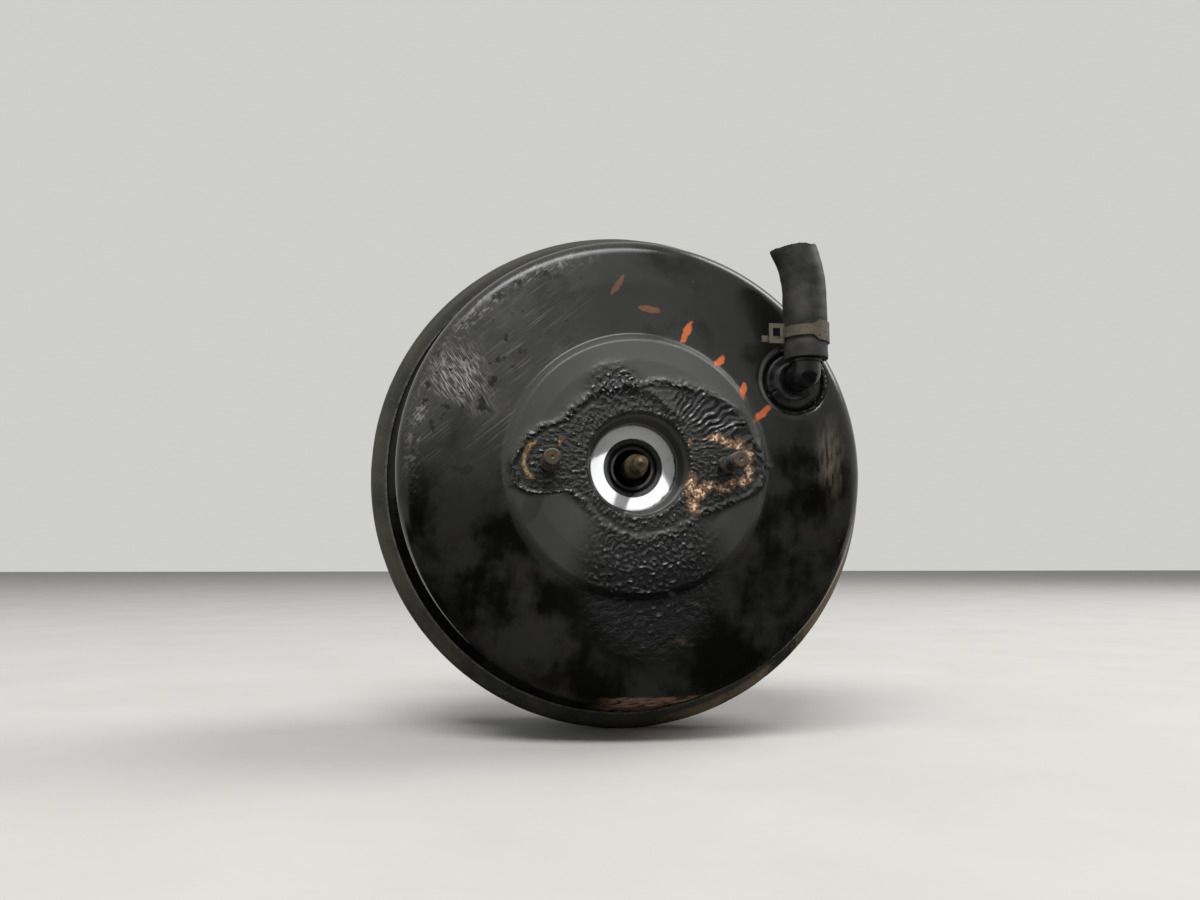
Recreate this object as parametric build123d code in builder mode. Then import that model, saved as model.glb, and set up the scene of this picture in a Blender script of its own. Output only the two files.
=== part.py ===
"""Single-diaphragm vacuum brake booster with its control valve, check valve and push rods.

Frame, in millimetres: the booster's axis is Y. The bulkhead face of the rear shell is the plane
y = 0, with the brake pedal towards +Y and the master cylinder towards -Y. Z is up, and X runs
along the line of the two master cylinder studs. Turned and pressed pieces are drawn as sections
of (radius, y) points in the half plane x >= 0 and revolved about Y.
"""
import os

from build123d import *

os.makedirs("parts", exist_ok=True)

# Fits and gaps
seat_gap = 0.05             # between pieces that are pressed or clamped together
running_gap = 0.05          # round a shaft in its guide
soft_gap = 0.3              # between a rubber lip and a moving piece

# Shells: pressed steel, the rear shell's rim rolled over the front shell's flange
sheet = 1.6
body_depth = 114.0          # master cylinder face to bulkhead face
pilot_radius = 23.8         # bore that centres the master cylinder
pilot_depth = 10.5
seal_bore = 21.4            # narrower bore behind it, for the front seal
seal_taper = 3.5
tube_depth = 25.4           # face to the floor of the drawn tube
tube_hole = 15.5
plateau_flat = 50.0         # radius of the flat that the master cylinder bolts to
plateau_radius = 60.5
plateau_fall = 1.6          # the plateau's own fall, from its flat to its edge
plateau_step = 3.6          # drop from the plateau's edge to the annulus
step_run = 3.6
annulus_break = 90.0        # radius where the annulus turns steeper
annulus_fall = 2.2
shoulder_fall = 4.1
front_radius = 115.0        # outside of the front shell's wall
front_corner = 9.2
rim_setback = 55.0          # face to the front of the rolled rim
channel_width = 8.0         # open groove between the front shell and the rolled rim
lip_width = 8.7
rim_corner = 5.2
bead_thickness = 6.0        # diaphragm bead, clamped in the rim
bead_width = 8.6
rear_corner = 10.0
rear_wall_end = 22.0        # bulkhead face to the end of the rear shell's wall
dome_radius = 100.0
dome_depth = 8.0
foot_radius = 66.0          # foot of the raised bulkhead pad
foot_depth = 4.0
pad_radius = 58.0
neck_radius = 24.8          # outside of the rear shell's drawn neck
neck_length = 16.0

# Studs
stud_radius = 4.0
stud_chamfer = 0.7
stud_shoulder = 4.6         # press shoulder, flush with the mounting face
stud_head_height = 4.0
stud_head_radius = 7.0
front_stud_spacing = 85.0
front_stud_length = 26.0    # out of the master cylinder face
rear_stud_spacing_x = 80.0
rear_stud_spacing_z = 60.0
rear_stud_length = 28.0     # out of the bulkhead face
front_plate_thickness = 2.6
rear_plate_thickness = 3.0

# Power piston
neck_shaft = 19.0           # radius of the valve body's neck
hub_radius = 33.0
hub_length = 36.4           # spring seat to diaphragm plate
hub_spigot = 27.0           # radius that carries the plate and the diaphragm's inner bead
web_setback = 14.0          # bulkhead face to the plate's rear face
plate_sheet = 1.5
plate_step_in = 76.0
plate_step_out = 86.0
plate_step = 8.0
fold_gap = 3.7              # room for the diaphragm's fold between plate and wall
rubber = 2.0                # thickness of the diaphragm
inner_bead_width = 4.4
inner_bead = 3.0
fold_inset = 2.0            # bead's front face to the diaphragm's sheet
fold_radius = 5.0
retainer_sheet = 1.2
boss_radius = 21.0          # front boss of the hub, round the reaction disc
pocket_outer = 31.0
pocket_floor = 9.0          # left between the hub's pockets and the plate
pocket_count = 8
pocket_angle = 30.0
passage_tilt = 90.0            # from the stud line to the middle of a vacuum passage
passage_sweep = 50.0
passage_width = 1.7
tail_length = 54.0          # neck behind the bulkhead face

# Control valve and rods
disc_radius = 12.4
disc_thickness = 3.7
rod_head = 3.4
rod_radius = 5.6
rod_tip_radius = 3.4
rod_tip_length = 16.0       # nose in front of the rod, and its shank inside the rod
rod_tip_shank = 3.0
nose_rise = 1.6
rod_projection = 8.0        # tip in front of the master cylinder face
plunger_radius = 7.5
plunger_play = 1.9          # gap to the reaction disc at rest
plunger_travel = 1.5
valve_floor = 1.5           # y of the floor of the valve chamber
chamber_radius = 15.5
seat_inner = 11.6
seat_outer = 13.4
seat_height = 3.5
air_seat_radius = 9.8
air_seat_thickness = 2.8
air_seat_rise = 1.2         # air seat stands this far behind the vacuum seat
ball_radius = 5.0
ball_setback = 5.7          # ball centre in front of the air seat
groove_core = 4.6
key_thickness = 2.8
key_gap = 0.3
key_width = 17.0
key_reach = 22.0
key_setback = 3.4           # bulkhead face to the key's rear face
push_rod_radius = 5.0       # M10 shank
push_rod_neck = 3.4
push_rod_end = 121.0
rod_seat_y = 36.0           # collar that the push rod's spring bears on
rod_seat_radius = 12.6
rod_seat_thickness = 1.5
rod_spring_radius = 11.0
rod_spring_wire = 0.9
clevis_pin_y = 138.0        # bulkhead face to the pedal pin
clevis_pin_radius = 5.0
clevis_gap = 10.0
clevis_ear = 4.0
clevis_width = 20.0
clevis_boss = 8.5
clevis_boss_length = 9.0
clevis_base = 5.0
nut_width = 17.0
nut_thickness = 6.0

# Check valve and hose
valve_inset = 24.4          # from the outside of the front shell's wall
valve_angle = 28.6          # above the stud line
pocket_radius = 15.6
pocket_depth = 11.0         # face to the floor of the pressed pocket
grommet_hole = 9.5
grommet_flange = 13.6
grommet_lip = 2.4
grommet_collar = 8.8
collar_height = 2.0
valve_stem = 6.4
valve_wall = 1.4
valve_length = 17.0
elbow_radius = 6.6
outlet_reach = 10.0         # outlet axis in front of the master cylinder face
outlet_bore = 3.8
nipple_radius = 5.6
hose_bore = 6.0
hose_wall = 4.4
hose_start = 6.7            # hose end above the valve's axis
hose_grip = 21.0            # length pushed over the nipple
hose_straight = 31.0
hose_bend_radius = 60.0
hose_bend = 16.0            # degrees, towards the booster's axis
hose_end_length = 7.5
clamp_sheet = 0.8
clamp_height = 9.6
clamp_strap = 5.0
clamp_rise = 19.0           # clamp's middle above the valve's axis
clamp_ear = 7.6

# Stations along the axis that several pieces share
face_y = -body_depth
rim_front = face_y + rim_setback
flange_y = rim_front + sheet + seat_gap
bead_front = flange_y + sheet + seat_gap
bead_rear = bead_front + bead_thickness
rim_rear = bead_rear + seat_gap + sheet
lip_radius = front_radius + channel_width
rim_radius = lip_radius + lip_width
rear_radius = rim_radius - sheet - bead_width
web_y = -web_setback
hub_front = web_y - plate_sheet - hub_length
spigot_rear = web_y + seat_gap + inner_bead
plate_radius = front_radius - sheet - rubber - fold_gap
vacuum_seat_y = valve_floor + seat_height
air_seat_y = vacuum_seat_y + air_seat_rise
ball_y = air_seat_y - ball_setback
valve_center = Vector(front_radius - valve_inset, 0, 0).rotate(Axis.Y, -valve_angle)


def section(*points, plane=Plane.XY):
    """Closed outline of (radius, y) points in the half plane x >= 0."""
    with BuildSketch(plane) as outline:
        with BuildLine():
            Polyline(*points, close=True)
        make_face()
    return outline.sketch


def ring(inner, outer, front, rear):
    """Rectangular section of a ring, from its radii and its two end faces."""
    return section((inner, front), (outer, front), (outer, rear), (inner, rear))


def pressed(path, radii, thickness):
    """Section of sheet whose one face follows the path, with its thickness on the left."""
    with BuildSketch(Plane.XY) as outline:
        with BuildLine():
            FilletPolyline(*path, radius=radii)
            offset(amount=thickness, side=Side.LEFT, closed=True)
        make_face()
    return outline.sketch


def finish(piece, name):
    """Label a finished piece and write it."""
    piece.part.label = name
    export_step(piece.part, f"parts/{name}.step")
    print(f"{name:26s} {len(piece.solids())} solid(s)  {piece.part.volume:10.1f} mm3")


def axis_at(point):
    """Axis through a point, parallel to the booster's own."""
    return Axis((point.X, 0, point.Z), (0, 1, 0))


def plane_at(point):
    """Plane for (radius, y) sections round a parallel axis."""
    return Plane(origin=(point.X, 0, point.Z), x_dir=(1, 0, 0), z_dir=(0, 0, 1))


def facing(point, y):
    """Plane square to the axis that faces forward, at a point's x and z."""
    return Plane(origin=(point.X, y, point.Z), x_dir=(1, 0, 0), z_dir=(0, -1, 0))


center = Vector(0, 0, 0)
front_studs = [Vector(side * front_stud_spacing / 2, 0, 0) for side in (-1, 1)]
rear_studs = [
    Vector(side * rear_stud_spacing_x / 2, 0, height * rear_stud_spacing_z / 2)
    for side in (-1, 1)
    for height in (-1, 1)
]

# ---------------------------------------------------------------- front shell
# The drawn tube, the raised plateau, the annulus, the wall and the flange are one sheet.
shoulder_y = face_y + plateau_fall + plateau_step + annulus_fall + shoulder_fall
front_path = [
    (tube_hole, face_y + tube_depth),
    (seal_bore, face_y + tube_depth),
    (seal_bore, face_y + pilot_depth + seal_taper),
    (pilot_radius, face_y + pilot_depth),
    (pilot_radius, face_y),
    (plateau_flat, face_y),
    (plateau_radius, face_y + plateau_fall),
    (plateau_radius + step_run, face_y + plateau_fall + plateau_step),
    (annulus_break, face_y + plateau_fall + plateau_step + annulus_fall),
    (front_radius, shoulder_y),
    (front_radius, flange_y),
    (rim_radius - rim_corner, flange_y),
]
mouth_radius = sheet + 1.0
tube_corner = 1.0
front_radii = [tube_corner, 2.0, 2.0, mouth_radius, 8.0, 2.0, 2.0, 40.0, front_corner, sheet + 1.0]
pocket_floor_y = face_y + pocket_depth

with BuildPart() as front_shell:
    revolve(pressed(front_path, front_radii, sheet), axis=Axis.Y)
    with BuildSketch(facing(valve_center, pocket_floor_y + sheet)):
        Circle(pocket_radius + sheet)
    extrude(amount=sheet + annulus_fall)
    with BuildSketch(facing(valve_center, pocket_floor_y)):
        Circle(pocket_radius)
    extrude(amount=pocket_depth, mode=Mode.SUBTRACT)
    with BuildSketch(facing(valve_center, pocket_floor_y + 2 * sheet)):
        Circle(grommet_hole)
    extrude(amount=4 * sheet, mode=Mode.SUBTRACT)
    for stud in front_studs:
        with BuildSketch(facing(stud, face_y + 2 * sheet)):
            Circle(stud_shoulder + seat_gap)
        extrude(amount=4 * sheet, mode=Mode.SUBTRACT)
finish(front_shell, "front_shell")

# ---------------------------------------------------------------- rear shell
rear_path = [
    (lip_radius, rim_front),
    (rim_radius, rim_front),
    (rim_radius, rim_rear),
    (rear_radius, rim_rear),
    (rear_radius, -rear_wall_end),
    (dome_radius, -dome_depth),
    (foot_radius, -foot_depth),
    (pad_radius, 0),
    (neck_radius, 0),
    (neck_radius, neck_length),
]
rear_radii = [rim_corner, sheet + 0.8, sheet + 0.8, rear_corner, 12.0, 5.0, 5.0, sheet + 1.0]

with BuildPart() as rear_shell:
    revolve(pressed(rear_path, rear_radii, sheet), axis=Axis.Y)
    for stud in rear_studs:
        with BuildSketch(facing(stud, sheet)):
            Circle(stud_shoulder + seat_gap)
        extrude(amount=4 * sheet, mode=Mode.SUBTRACT)
finish(rear_shell, "rear_shell")

# ---------------------------------------------------------------- reinforcement plates
front_plate_y = face_y + sheet + seat_gap
front_plate_rear = front_plate_y + front_plate_thickness
rear_plate_rear = -sheet - seat_gap
rear_plate_front = rear_plate_rear - rear_plate_thickness
tube_clearance = 1.2

with BuildPart() as front_reinforcement:
    revolve(ring(pilot_radius + sheet + tube_clearance, plateau_flat - 0.8, front_plate_y,
                 front_plate_rear), axis=Axis.Y)
    for stud in front_studs:
        with BuildSketch(facing(stud, front_plate_rear + 1)):
            Circle(stud_shoulder + seat_gap)
        extrude(amount=front_plate_thickness + 2, mode=Mode.SUBTRACT)
finish(front_reinforcement, "front_reinforcement")

with BuildPart() as rear_reinforcement:
    revolve(ring(neck_radius + sheet + tube_clearance, pad_radius - 2.0, rear_plate_front,
                 rear_plate_rear), axis=Axis.Y)
    for stud in rear_studs:
        with BuildSketch(facing(stud, rear_plate_rear + 1)):
            Circle(stud_shoulder + seat_gap)
        extrude(amount=rear_plate_thickness + 2, mode=Mode.SUBTRACT)
finish(rear_reinforcement, "rear_reinforcement")

# ---------------------------------------------------------------- studs, with round heads inside
with BuildPart() as master_cylinder_studs:
    for stud in front_studs:
        head_y = front_plate_rear + seat_gap + stud_head_height
        with BuildSketch(facing(stud, head_y)):
            Circle(stud_head_radius)
        extrude(amount=stud_head_height)
        with BuildSketch(facing(stud, head_y - stud_head_height)):
            Circle(stud_shoulder)
        extrude(amount=head_y - stud_head_height - face_y)
        with BuildSketch(facing(stud, face_y)):
            Circle(stud_radius)
        extrude(amount=front_stud_length)
    tips = master_cylinder_studs.faces().sort_by(Axis.Y)[0:2]
    chamfer(tips.edges(), length=stud_chamfer)
finish(master_cylinder_studs, "master_cylinder_studs")

with BuildPart() as firewall_studs:
    for stud in rear_studs:
        head_y = rear_plate_front - seat_gap
        with BuildSketch(facing(stud, head_y)):
            Circle(stud_head_radius)
        extrude(amount=stud_head_height)
        with BuildSketch(facing(stud, 0)):
            Circle(stud_shoulder)
        extrude(amount=-head_y)
        with BuildSketch(facing(stud, rear_stud_length)):
            Circle(stud_radius)
        extrude(amount=rear_stud_length)
    tips = firewall_studs.faces().sort_by(Axis.Y)[-4:]
    chamfer(tips.edges(), length=stud_chamfer)
finish(firewall_studs, "firewall_studs")

# ---------------------------------------------------------------- front seal and its retainer
seal_rear = face_y + tube_depth - seat_gap
seal_thickness = 4.9
retainer_thickness = 1.6
seal_front = seal_rear - seal_thickness
lip_bore = 9.2

with BuildPart() as front_seal:
    revolve(section(
        (seal_bore - seat_gap, seal_front),
        (13.6, seal_front),
        (12.7, seal_front + 0.8),
        (11.8, seal_front + 2.8),
        (10.9, seal_front + 1.2),
        (10.0, seal_front + 0.9),
        (lip_bore, seal_front + 1.6),
        (lip_bore + 0.3, seal_rear - 0.4),
        (12.0, seal_rear),
        (seal_bore - seat_gap - tube_corner, seal_rear),
        (seal_bore - seat_gap, seal_rear - tube_corner),
    ), axis=Axis.Y)
finish(front_seal, "front_seal")

with BuildPart() as seal_retainer:
    revolve(ring(14.65, seal_bore - seat_gap, seal_front - seat_gap - retainer_thickness,
                 seal_front - seat_gap), axis=Axis.Y)
    outer_edges = seal_retainer.edges().filter_by(GeomType.CIRCLE).group_by(SortBy.RADIUS)[-1]
    fillet(outer_edges, radius=0.6)
finish(seal_retainer, "seal_retainer")

# ---------------------------------------------------------------- rear seal and bearing
bearing_length = 7.0
bearing_rear = neck_length - 3.0
bearing_front = bearing_rear - bearing_length
lip_seal_rear = bearing_front - seat_gap
lip_seal_length = 8.5
seal_lip_width = 2.4
lip_seal_front = lip_seal_rear - lip_seal_length
bearing_seat = neck_radius - sheet - seat_gap
shaft_lip = neck_shaft + soft_gap

with BuildPart() as rear_seal:
    revolve(section(
        (bearing_seat, lip_seal_front),
        (bearing_seat, lip_seal_rear),
        (neck_shaft + 2.2, lip_seal_rear),
        (neck_shaft + 1.6, lip_seal_rear - 1.5 * seal_lip_width),
        (shaft_lip, lip_seal_rear - seal_lip_width),
        (shaft_lip, lip_seal_rear - 2 * seal_lip_width),
        (neck_shaft + 1.4, lip_seal_front),
    ), axis=Axis.Y)
finish(rear_seal, "rear_seal")

with BuildPart() as rear_bearing:
    revolve(ring(neck_shaft + running_gap, bearing_seat, bearing_front, bearing_rear),
            axis=Axis.Y)
finish(rear_bearing, "rear_bearing")

# ---------------------------------------------------------------- diaphragm plate and diaphragm
fold_y = bead_front + fold_inset
plate_rim_y = fold_y + fold_radius + 1.0


def plate_path(gap):
    """Rear face of the diaphragm plate, or a line outside it by a gap."""
    return [
        (hub_spigot + seat_gap, web_y + gap),
        (plate_step_in, web_y + gap),
        (plate_step_out, web_y - plate_step + gap),
        (plate_radius + gap, web_y - plate_step + gap),
    ]


plate_section = plate_path(0) + [(plate_radius, plate_rim_y)]
with BuildPart() as diaphragm_plate:
    with BuildSketch(Plane.XY):
        with BuildLine():
            FilletPolyline(*plate_section, radius=[4.0, 4.0, 5.0])
            offset(amount=plate_sheet, side=Side.RIGHT, closed=True)
        make_face()
    revolve(axis=Axis.Y)
finish(diaphragm_plate, "diaphragm_plate")

bead_outer = rim_radius - sheet - 0.7
diaphragm_path = plate_path(seat_gap) + [
    (plate_radius + seat_gap, fold_y),
    (rear_radius + 1.0, fold_y),
]
with BuildPart() as diaphragm:
    revolve(pressed(diaphragm_path, [4.0, 4.0, 5.0, fold_radius], rubber), axis=Axis.Y)
    revolve(ring(rear_radius, bead_outer, bead_front, bead_rear), axis=Axis.Y)
    outer_edges = diaphragm.edges().filter_by(GeomType.CIRCLE).group_by(SortBy.RADIUS)[-1]
    fillet(outer_edges, radius=1.5)
    revolve(ring(hub_spigot + seat_gap, hub_spigot + inner_bead_width, web_y + seat_gap,
                 spigot_rear), axis=Axis.Y)
finish(diaphragm, "diaphragm")

# ---------------------------------------------------------------- valve body: hub, spigot and neck
disc_pocket_rear = hub_front + rod_head + disc_thickness + 3 * seat_gap
key_rear = -key_setback
key_front = key_rear - key_thickness

with BuildPart() as valve_body:
    revolve(section(
        (0, hub_front),
        (hub_radius, hub_front),
        (hub_radius, web_y - plate_sheet - seat_gap),
        (hub_spigot, web_y - plate_sheet - seat_gap),
        (hub_spigot, spigot_rear),
        (neck_shaft, spigot_rear),
        (neck_shaft, tail_length),
        (0, tail_length),
    ), axis=Axis.Y)
    # Bores: the reaction disc's pocket, the plunger's bore and the valve chamber.
    revolve(section(
        (0, hub_front),
        (disc_radius + 0.15, hub_front),
        (disc_radius + 0.15, disc_pocket_rear),
        (plunger_radius + running_gap, disc_pocket_rear),
        (plunger_radius + running_gap, valve_floor - air_seat_thickness),
        (air_seat_radius + 0.5, valve_floor - air_seat_thickness),
        (air_seat_radius + 0.5, valve_floor),
        (seat_inner, valve_floor),
        (seat_inner, vacuum_seat_y),
        (seat_outer, vacuum_seat_y),
        (seat_outer, valve_floor),
        (chamber_radius, valve_floor),
        (chamber_radius, tail_length),
        (0, tail_length),
    ), axis=Axis.Y, mode=Mode.SUBTRACT)
    # Pockets that lighten the hub, open to the front.
    with BuildSketch(facing(center, hub_front)):
        with PolarLocations(0, pocket_count):
            with BuildLine():
                inner = CenterArc((0, 0), boss_radius, -pocket_angle / 2, pocket_angle)
                outer = CenterArc((0, 0), pocket_outer, -pocket_angle / 2, pocket_angle)
                Line(inner @ 0, outer @ 0)
                Line(inner @ 1, outer @ 1)
            make_face()
    extrude(amount=-(hub_length - pocket_floor), mode=Mode.SUBTRACT)
    # Two vacuum passages from the valve chamber to the front of the hub.
    with BuildSketch(facing(center, valve_floor)):
        for middle in (passage_tilt, passage_tilt + 180):
            passage = CenterArc((0, 0), (seat_outer + chamber_radius) / 2,
                                middle - passage_sweep / 2, passage_sweep)
            SlotArc(passage, passage_width)
    extrude(amount=valve_floor - hub_front, mode=Mode.SUBTRACT)
    # Slot for the stop key, straight through the neck.
    with Locations((0, (key_front + key_rear) / 2, 0)):
        Box(3 * neck_shaft, key_thickness + 2 * key_gap, key_width + 2 * key_gap,
            mode=Mode.SUBTRACT)
finish(valve_body, "valve_body")

# ---------------------------------------------------------------- rings that close the hub
with BuildPart() as rod_retainer:
    revolve(ring(rod_radius + 2.4, hub_radius, hub_front - seat_gap - retainer_sheet,
                 hub_front - seat_gap), axis=Axis.Y)
    with BuildSketch(facing(center, hub_front)):
        with PolarLocations((boss_radius + pocket_outer) / 2 - 6.0, pocket_count, start_angle=22.5):
            Circle(2.6)
    extrude(amount=2 * retainer_sheet, mode=Mode.SUBTRACT)
finish(rod_retainer, "rod_retainer")

with BuildPart() as plate_retainer:
    revolve(ring(neck_shaft + seat_gap, hub_spigot + inner_bead_width, spigot_rear + seat_gap,
                 spigot_rear + seat_gap + retainer_sheet), axis=Axis.Y)
finish(plate_retainer, "plate_retainer")

# ---------------------------------------------------------------- reaction disc and output rod
head_front = hub_front + seat_gap
disc_front = head_front + rod_head + seat_gap
with BuildPart() as reaction_disc:
    revolve(ring(0, disc_radius, disc_front, disc_front + disc_thickness), axis=Axis.Y)
finish(reaction_disc, "reaction_disc")

tip_y = face_y - rod_projection
rod_front = tip_y + rod_tip_length
with BuildPart() as output_rod:
    revolve(section(
        (0, rod_front),
        (rod_radius - 1.0, rod_front),
        (rod_radius, rod_front + 1.0),
        (rod_radius, head_front),
        (disc_radius, head_front),
        (disc_radius, head_front + rod_head),
        (0, head_front + rod_head),
    ), axis=Axis.Y)
    revolve(ring(0, rod_tip_shank + seat_gap, rod_front - 1, rod_front + rod_tip_length),
            axis=Axis.Y, mode=Mode.SUBTRACT)
finish(output_rod, "output_rod")

with BuildPart() as output_rod_tip:
    with BuildSketch(Plane.XY):
        with BuildLine():
            nose = RadiusArc((0, tip_y), (rod_tip_radius, tip_y + nose_rise), 4.4)
            Polyline(
                nose @ 1,
                (rod_tip_radius, rod_front - seat_gap),
                (rod_tip_shank, rod_front - seat_gap),
                (rod_tip_shank, rod_front + rod_tip_length - seat_gap),
                (0, rod_front + rod_tip_length - seat_gap),
                nose @ 0,
            )
        make_face()
    revolve(axis=Axis.Y)
finish(output_rod_tip, "output_rod_tip")

# ---------------------------------------------------------------- plunger, key and push rod
plunger_front = disc_front + disc_thickness + plunger_play
with BuildPart() as plunger:
    revolve(section(
        (0, plunger_front),
        (plunger_radius - 0.6, plunger_front),
        (plunger_radius, plunger_front + 0.6),
        (plunger_radius, key_front - key_gap),
        (groove_core, key_front - key_gap),
        (groove_core, key_rear + plunger_travel + key_gap),
        (plunger_radius, key_rear + plunger_travel + key_gap),
        (plunger_radius, air_seat_y - air_seat_thickness),
        (air_seat_radius, air_seat_y - air_seat_thickness),
        (air_seat_radius, air_seat_y),
        (0, air_seat_y),
    ), axis=Axis.Y)
    # Ball socket, open to the rear.
    with Locations((0, ball_y, 0)):
        Sphere(ball_radius + running_gap, mode=Mode.SUBTRACT)
    revolve(ring(0, ball_radius - 0.6, ball_y, air_seat_y + 1), axis=Axis.Y, mode=Mode.SUBTRACT)
finish(plunger, "plunger")

with BuildPart() as stop_key:
    with BuildSketch(facing(center, key_rear)):
        Rectangle(2 * key_reach, key_width)
        with Locations((key_reach / 2, 0)):
            Rectangle(key_reach, 2 * (groove_core + key_gap), mode=Mode.SUBTRACT)
        Circle(groove_core + key_gap, mode=Mode.SUBTRACT)
    extrude(amount=key_thickness)
    fillet(stop_key.edges().filter_by(Axis.Y).group_by(Axis.X)[0], radius=3.0)
finish(stop_key, "stop_key")

poppet_rear = 21.9
with BuildPart() as input_rod:
    with Locations((0, ball_y, 0)):
        Sphere(ball_radius)
    revolve(section(
        (0, ball_y),
        (push_rod_neck, ball_y),
        (push_rod_neck, ball_y + 9.5),
        (push_rod_radius, ball_y + 13.5),
        (push_rod_radius, rod_seat_y),
        (rod_seat_radius, rod_seat_y),
        (rod_seat_radius, rod_seat_y + rod_seat_thickness),
        (push_rod_radius, rod_seat_y + rod_seat_thickness),
        (push_rod_radius, push_rod_end - 1.0),
        (push_rod_radius - 1.0, push_rod_end),
        (0, push_rod_end),
    ), axis=Axis.Y)
finish(input_rod, "input_rod")

# ---------------------------------------------------------------- poppet and its retainer
lip_front = air_seat_y + 0.1
lip_rear = lip_front + 2.0
poppet_bore = 6.2
poppet_wall = 11.2
with BuildPart() as poppet:
    revolve(section(
        (poppet_bore, lip_front),
        (seat_outer + 0.2, lip_front),
        (seat_outer + 0.2, lip_rear),
        (poppet_wall + 1.4, lip_rear + 1.0),
        (poppet_wall + 1.4, poppet_rear - 4.4),
        (chamber_radius - seat_gap, poppet_rear - 4.4),
        (chamber_radius - seat_gap, poppet_rear),
        (poppet_wall, poppet_rear),
        (poppet_wall, lip_rear + 0.6),
        (poppet_wall - 1.2, lip_rear),
        (poppet_bore, lip_rear),
    ), axis=Axis.Y)
finish(poppet, "poppet")

sleeve_inner = 9.7
spring_stop_y = 16.0
cup_sheet = 1.2
with BuildPart() as poppet_retainer:
    revolve(section(
        (sleeve_inner - 1.9, spring_stop_y),
        (poppet_wall - seat_gap, spring_stop_y),
        (poppet_wall - seat_gap, poppet_rear + seat_gap),
        (chamber_radius - seat_gap, poppet_rear + seat_gap),
        (chamber_radius - seat_gap, poppet_rear + seat_gap + cup_sheet),
        (sleeve_inner, poppet_rear + seat_gap + cup_sheet),
        (sleeve_inner, spring_stop_y + cup_sheet),
        (sleeve_inner - 1.9, spring_stop_y + cup_sheet),
    ), axis=Axis.Y)
finish(poppet_retainer, "poppet_retainer")


# ---------------------------------------------------------------- coil springs
def coil(radius, wire, front, rear, turns, point=center):
    """Coil of round wire that just fills the space between two seats."""
    pitch = (rear - front - 2 * wire) / turns
    start = (point.X, front + wire, point.Z)
    with BuildPart() as spring:
        with BuildLine():
            path = Helix(pitch=pitch, height=pitch * turns, radius=radius, center=start,
                         direction=(0, 1, 0))
        with BuildSketch(Plane(origin=path @ 0, z_dir=path % 0)):
            Circle(wire)
        sweep(path=path)
    return spring


spring_wire = 2.0
spring_radius = (hub_radius + pilot_radius + sheet) / 2      # midway between hub edge and tube
return_spring = coil(spring_radius, spring_wire, front_plate_rear + seat_gap,
                     hub_front - 2 * seat_gap - retainer_sheet, 5.5)
finish(return_spring, "return_spring")

poppet_spring_radius = sleeve_inner - 0.7
poppet_spring_wire = 0.5
poppet_spring = coil(poppet_spring_radius, poppet_spring_wire, lip_rear + seat_gap,
                     spring_stop_y - seat_gap, 3)
finish(poppet_spring, "poppet_spring")

input_rod_spring = coil(rod_spring_radius, rod_spring_wire, poppet_rear + cup_sheet + 2 * seat_gap,
                        rod_seat_y - seat_gap, 3.5)
finish(input_rod_spring, "input_rod_spring")

# ---------------------------------------------------------------- silencer and air filter
filter_bore = push_rod_radius + soft_gap
filter_rear = tail_length - 1.5
filter_thickness = 8.0
filter_split = filter_rear - filter_thickness
silencer_front = rod_seat_y + rod_seat_thickness + 1.0
for name, near, far in (("silencer", silencer_front, filter_split),
                        ("air_filter", filter_split + seat_gap, filter_rear)):
    with BuildPart() as disc:
        revolve(ring(filter_bore, chamber_radius - seat_gap, near, far), axis=Axis.Y)
    finish(disc, name)

# ---------------------------------------------------------------- dust boot: rubber bellows
boot_wall = 1.5
boot_cuff = neck_radius + seat_gap
cuff_front = 5.0
boot_root = 24.5
boot_crest = 30.0
boot_folds = 4
boot_start = neck_length + 1.0
boot_pitch = (tail_length + 1.0 - boot_start) / boot_folds
boot_neck_y = tail_length + 14.0
boot_end_y = boot_neck_y + 6.0
boot_path = [(boot_cuff, cuff_front), (boot_cuff, boot_start)]
for fold in range(boot_folds):
    boot_path.append((boot_crest - fold, boot_start + (fold + 0.5) * boot_pitch))
    boot_path.append((boot_root - fold * 0.8, boot_start + (fold + 1) * boot_pitch))
boot_path += [(push_rod_radius + soft_gap, boot_neck_y), (push_rod_radius + soft_gap, boot_end_y)]
with BuildPart() as dust_boot:
    with BuildSketch(Plane.XY):
        with BuildLine():
            FilletPolyline(*boot_path, radius=[2.0] + [2.2] * 2 * boot_folds + [3.0])
            offset(amount=boot_wall, side=Side.RIGHT, closed=True)
        make_face()
    revolve(axis=Axis.Y)
finish(dust_boot, "dust_boot")

# ---------------------------------------------------------------- clevis and lock nut
clevis_front = push_rod_end - clevis_boss_length - 1.0
clevis_floor = push_rod_end + 1.0
with BuildPart() as clevis:
    with BuildSketch(Plane.YZ):
        with Locations((clevis_pin_y, 0)):
            Circle(clevis_width / 2)
        with Locations((clevis_floor - clevis_base, 0)):
            Rectangle(clevis_pin_y - clevis_floor + clevis_base, clevis_width,
                      align=(Align.MIN, Align.CENTER))
    extrude(amount=clevis_gap / 2 + clevis_ear, both=True)
    with Locations((0, clevis_floor, 0)):
        Box(clevis_gap, clevis_pin_y + clevis_width - clevis_floor, 2 * clevis_width,
            align=(Align.CENTER, Align.MIN, Align.CENTER), mode=Mode.SUBTRACT)
    revolve(ring(0, clevis_boss, clevis_front, clevis_floor), axis=Axis.Y)
    revolve(ring(0, push_rod_radius + seat_gap, clevis_front - 1, clevis_floor + 1), axis=Axis.Y,
            mode=Mode.SUBTRACT)
    with BuildSketch(Plane.YZ):
        with Locations((clevis_pin_y, 0)):
            Circle(clevis_pin_radius)
    extrude(amount=clevis_gap, both=True, mode=Mode.SUBTRACT)
finish(clevis, "clevis")

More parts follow.
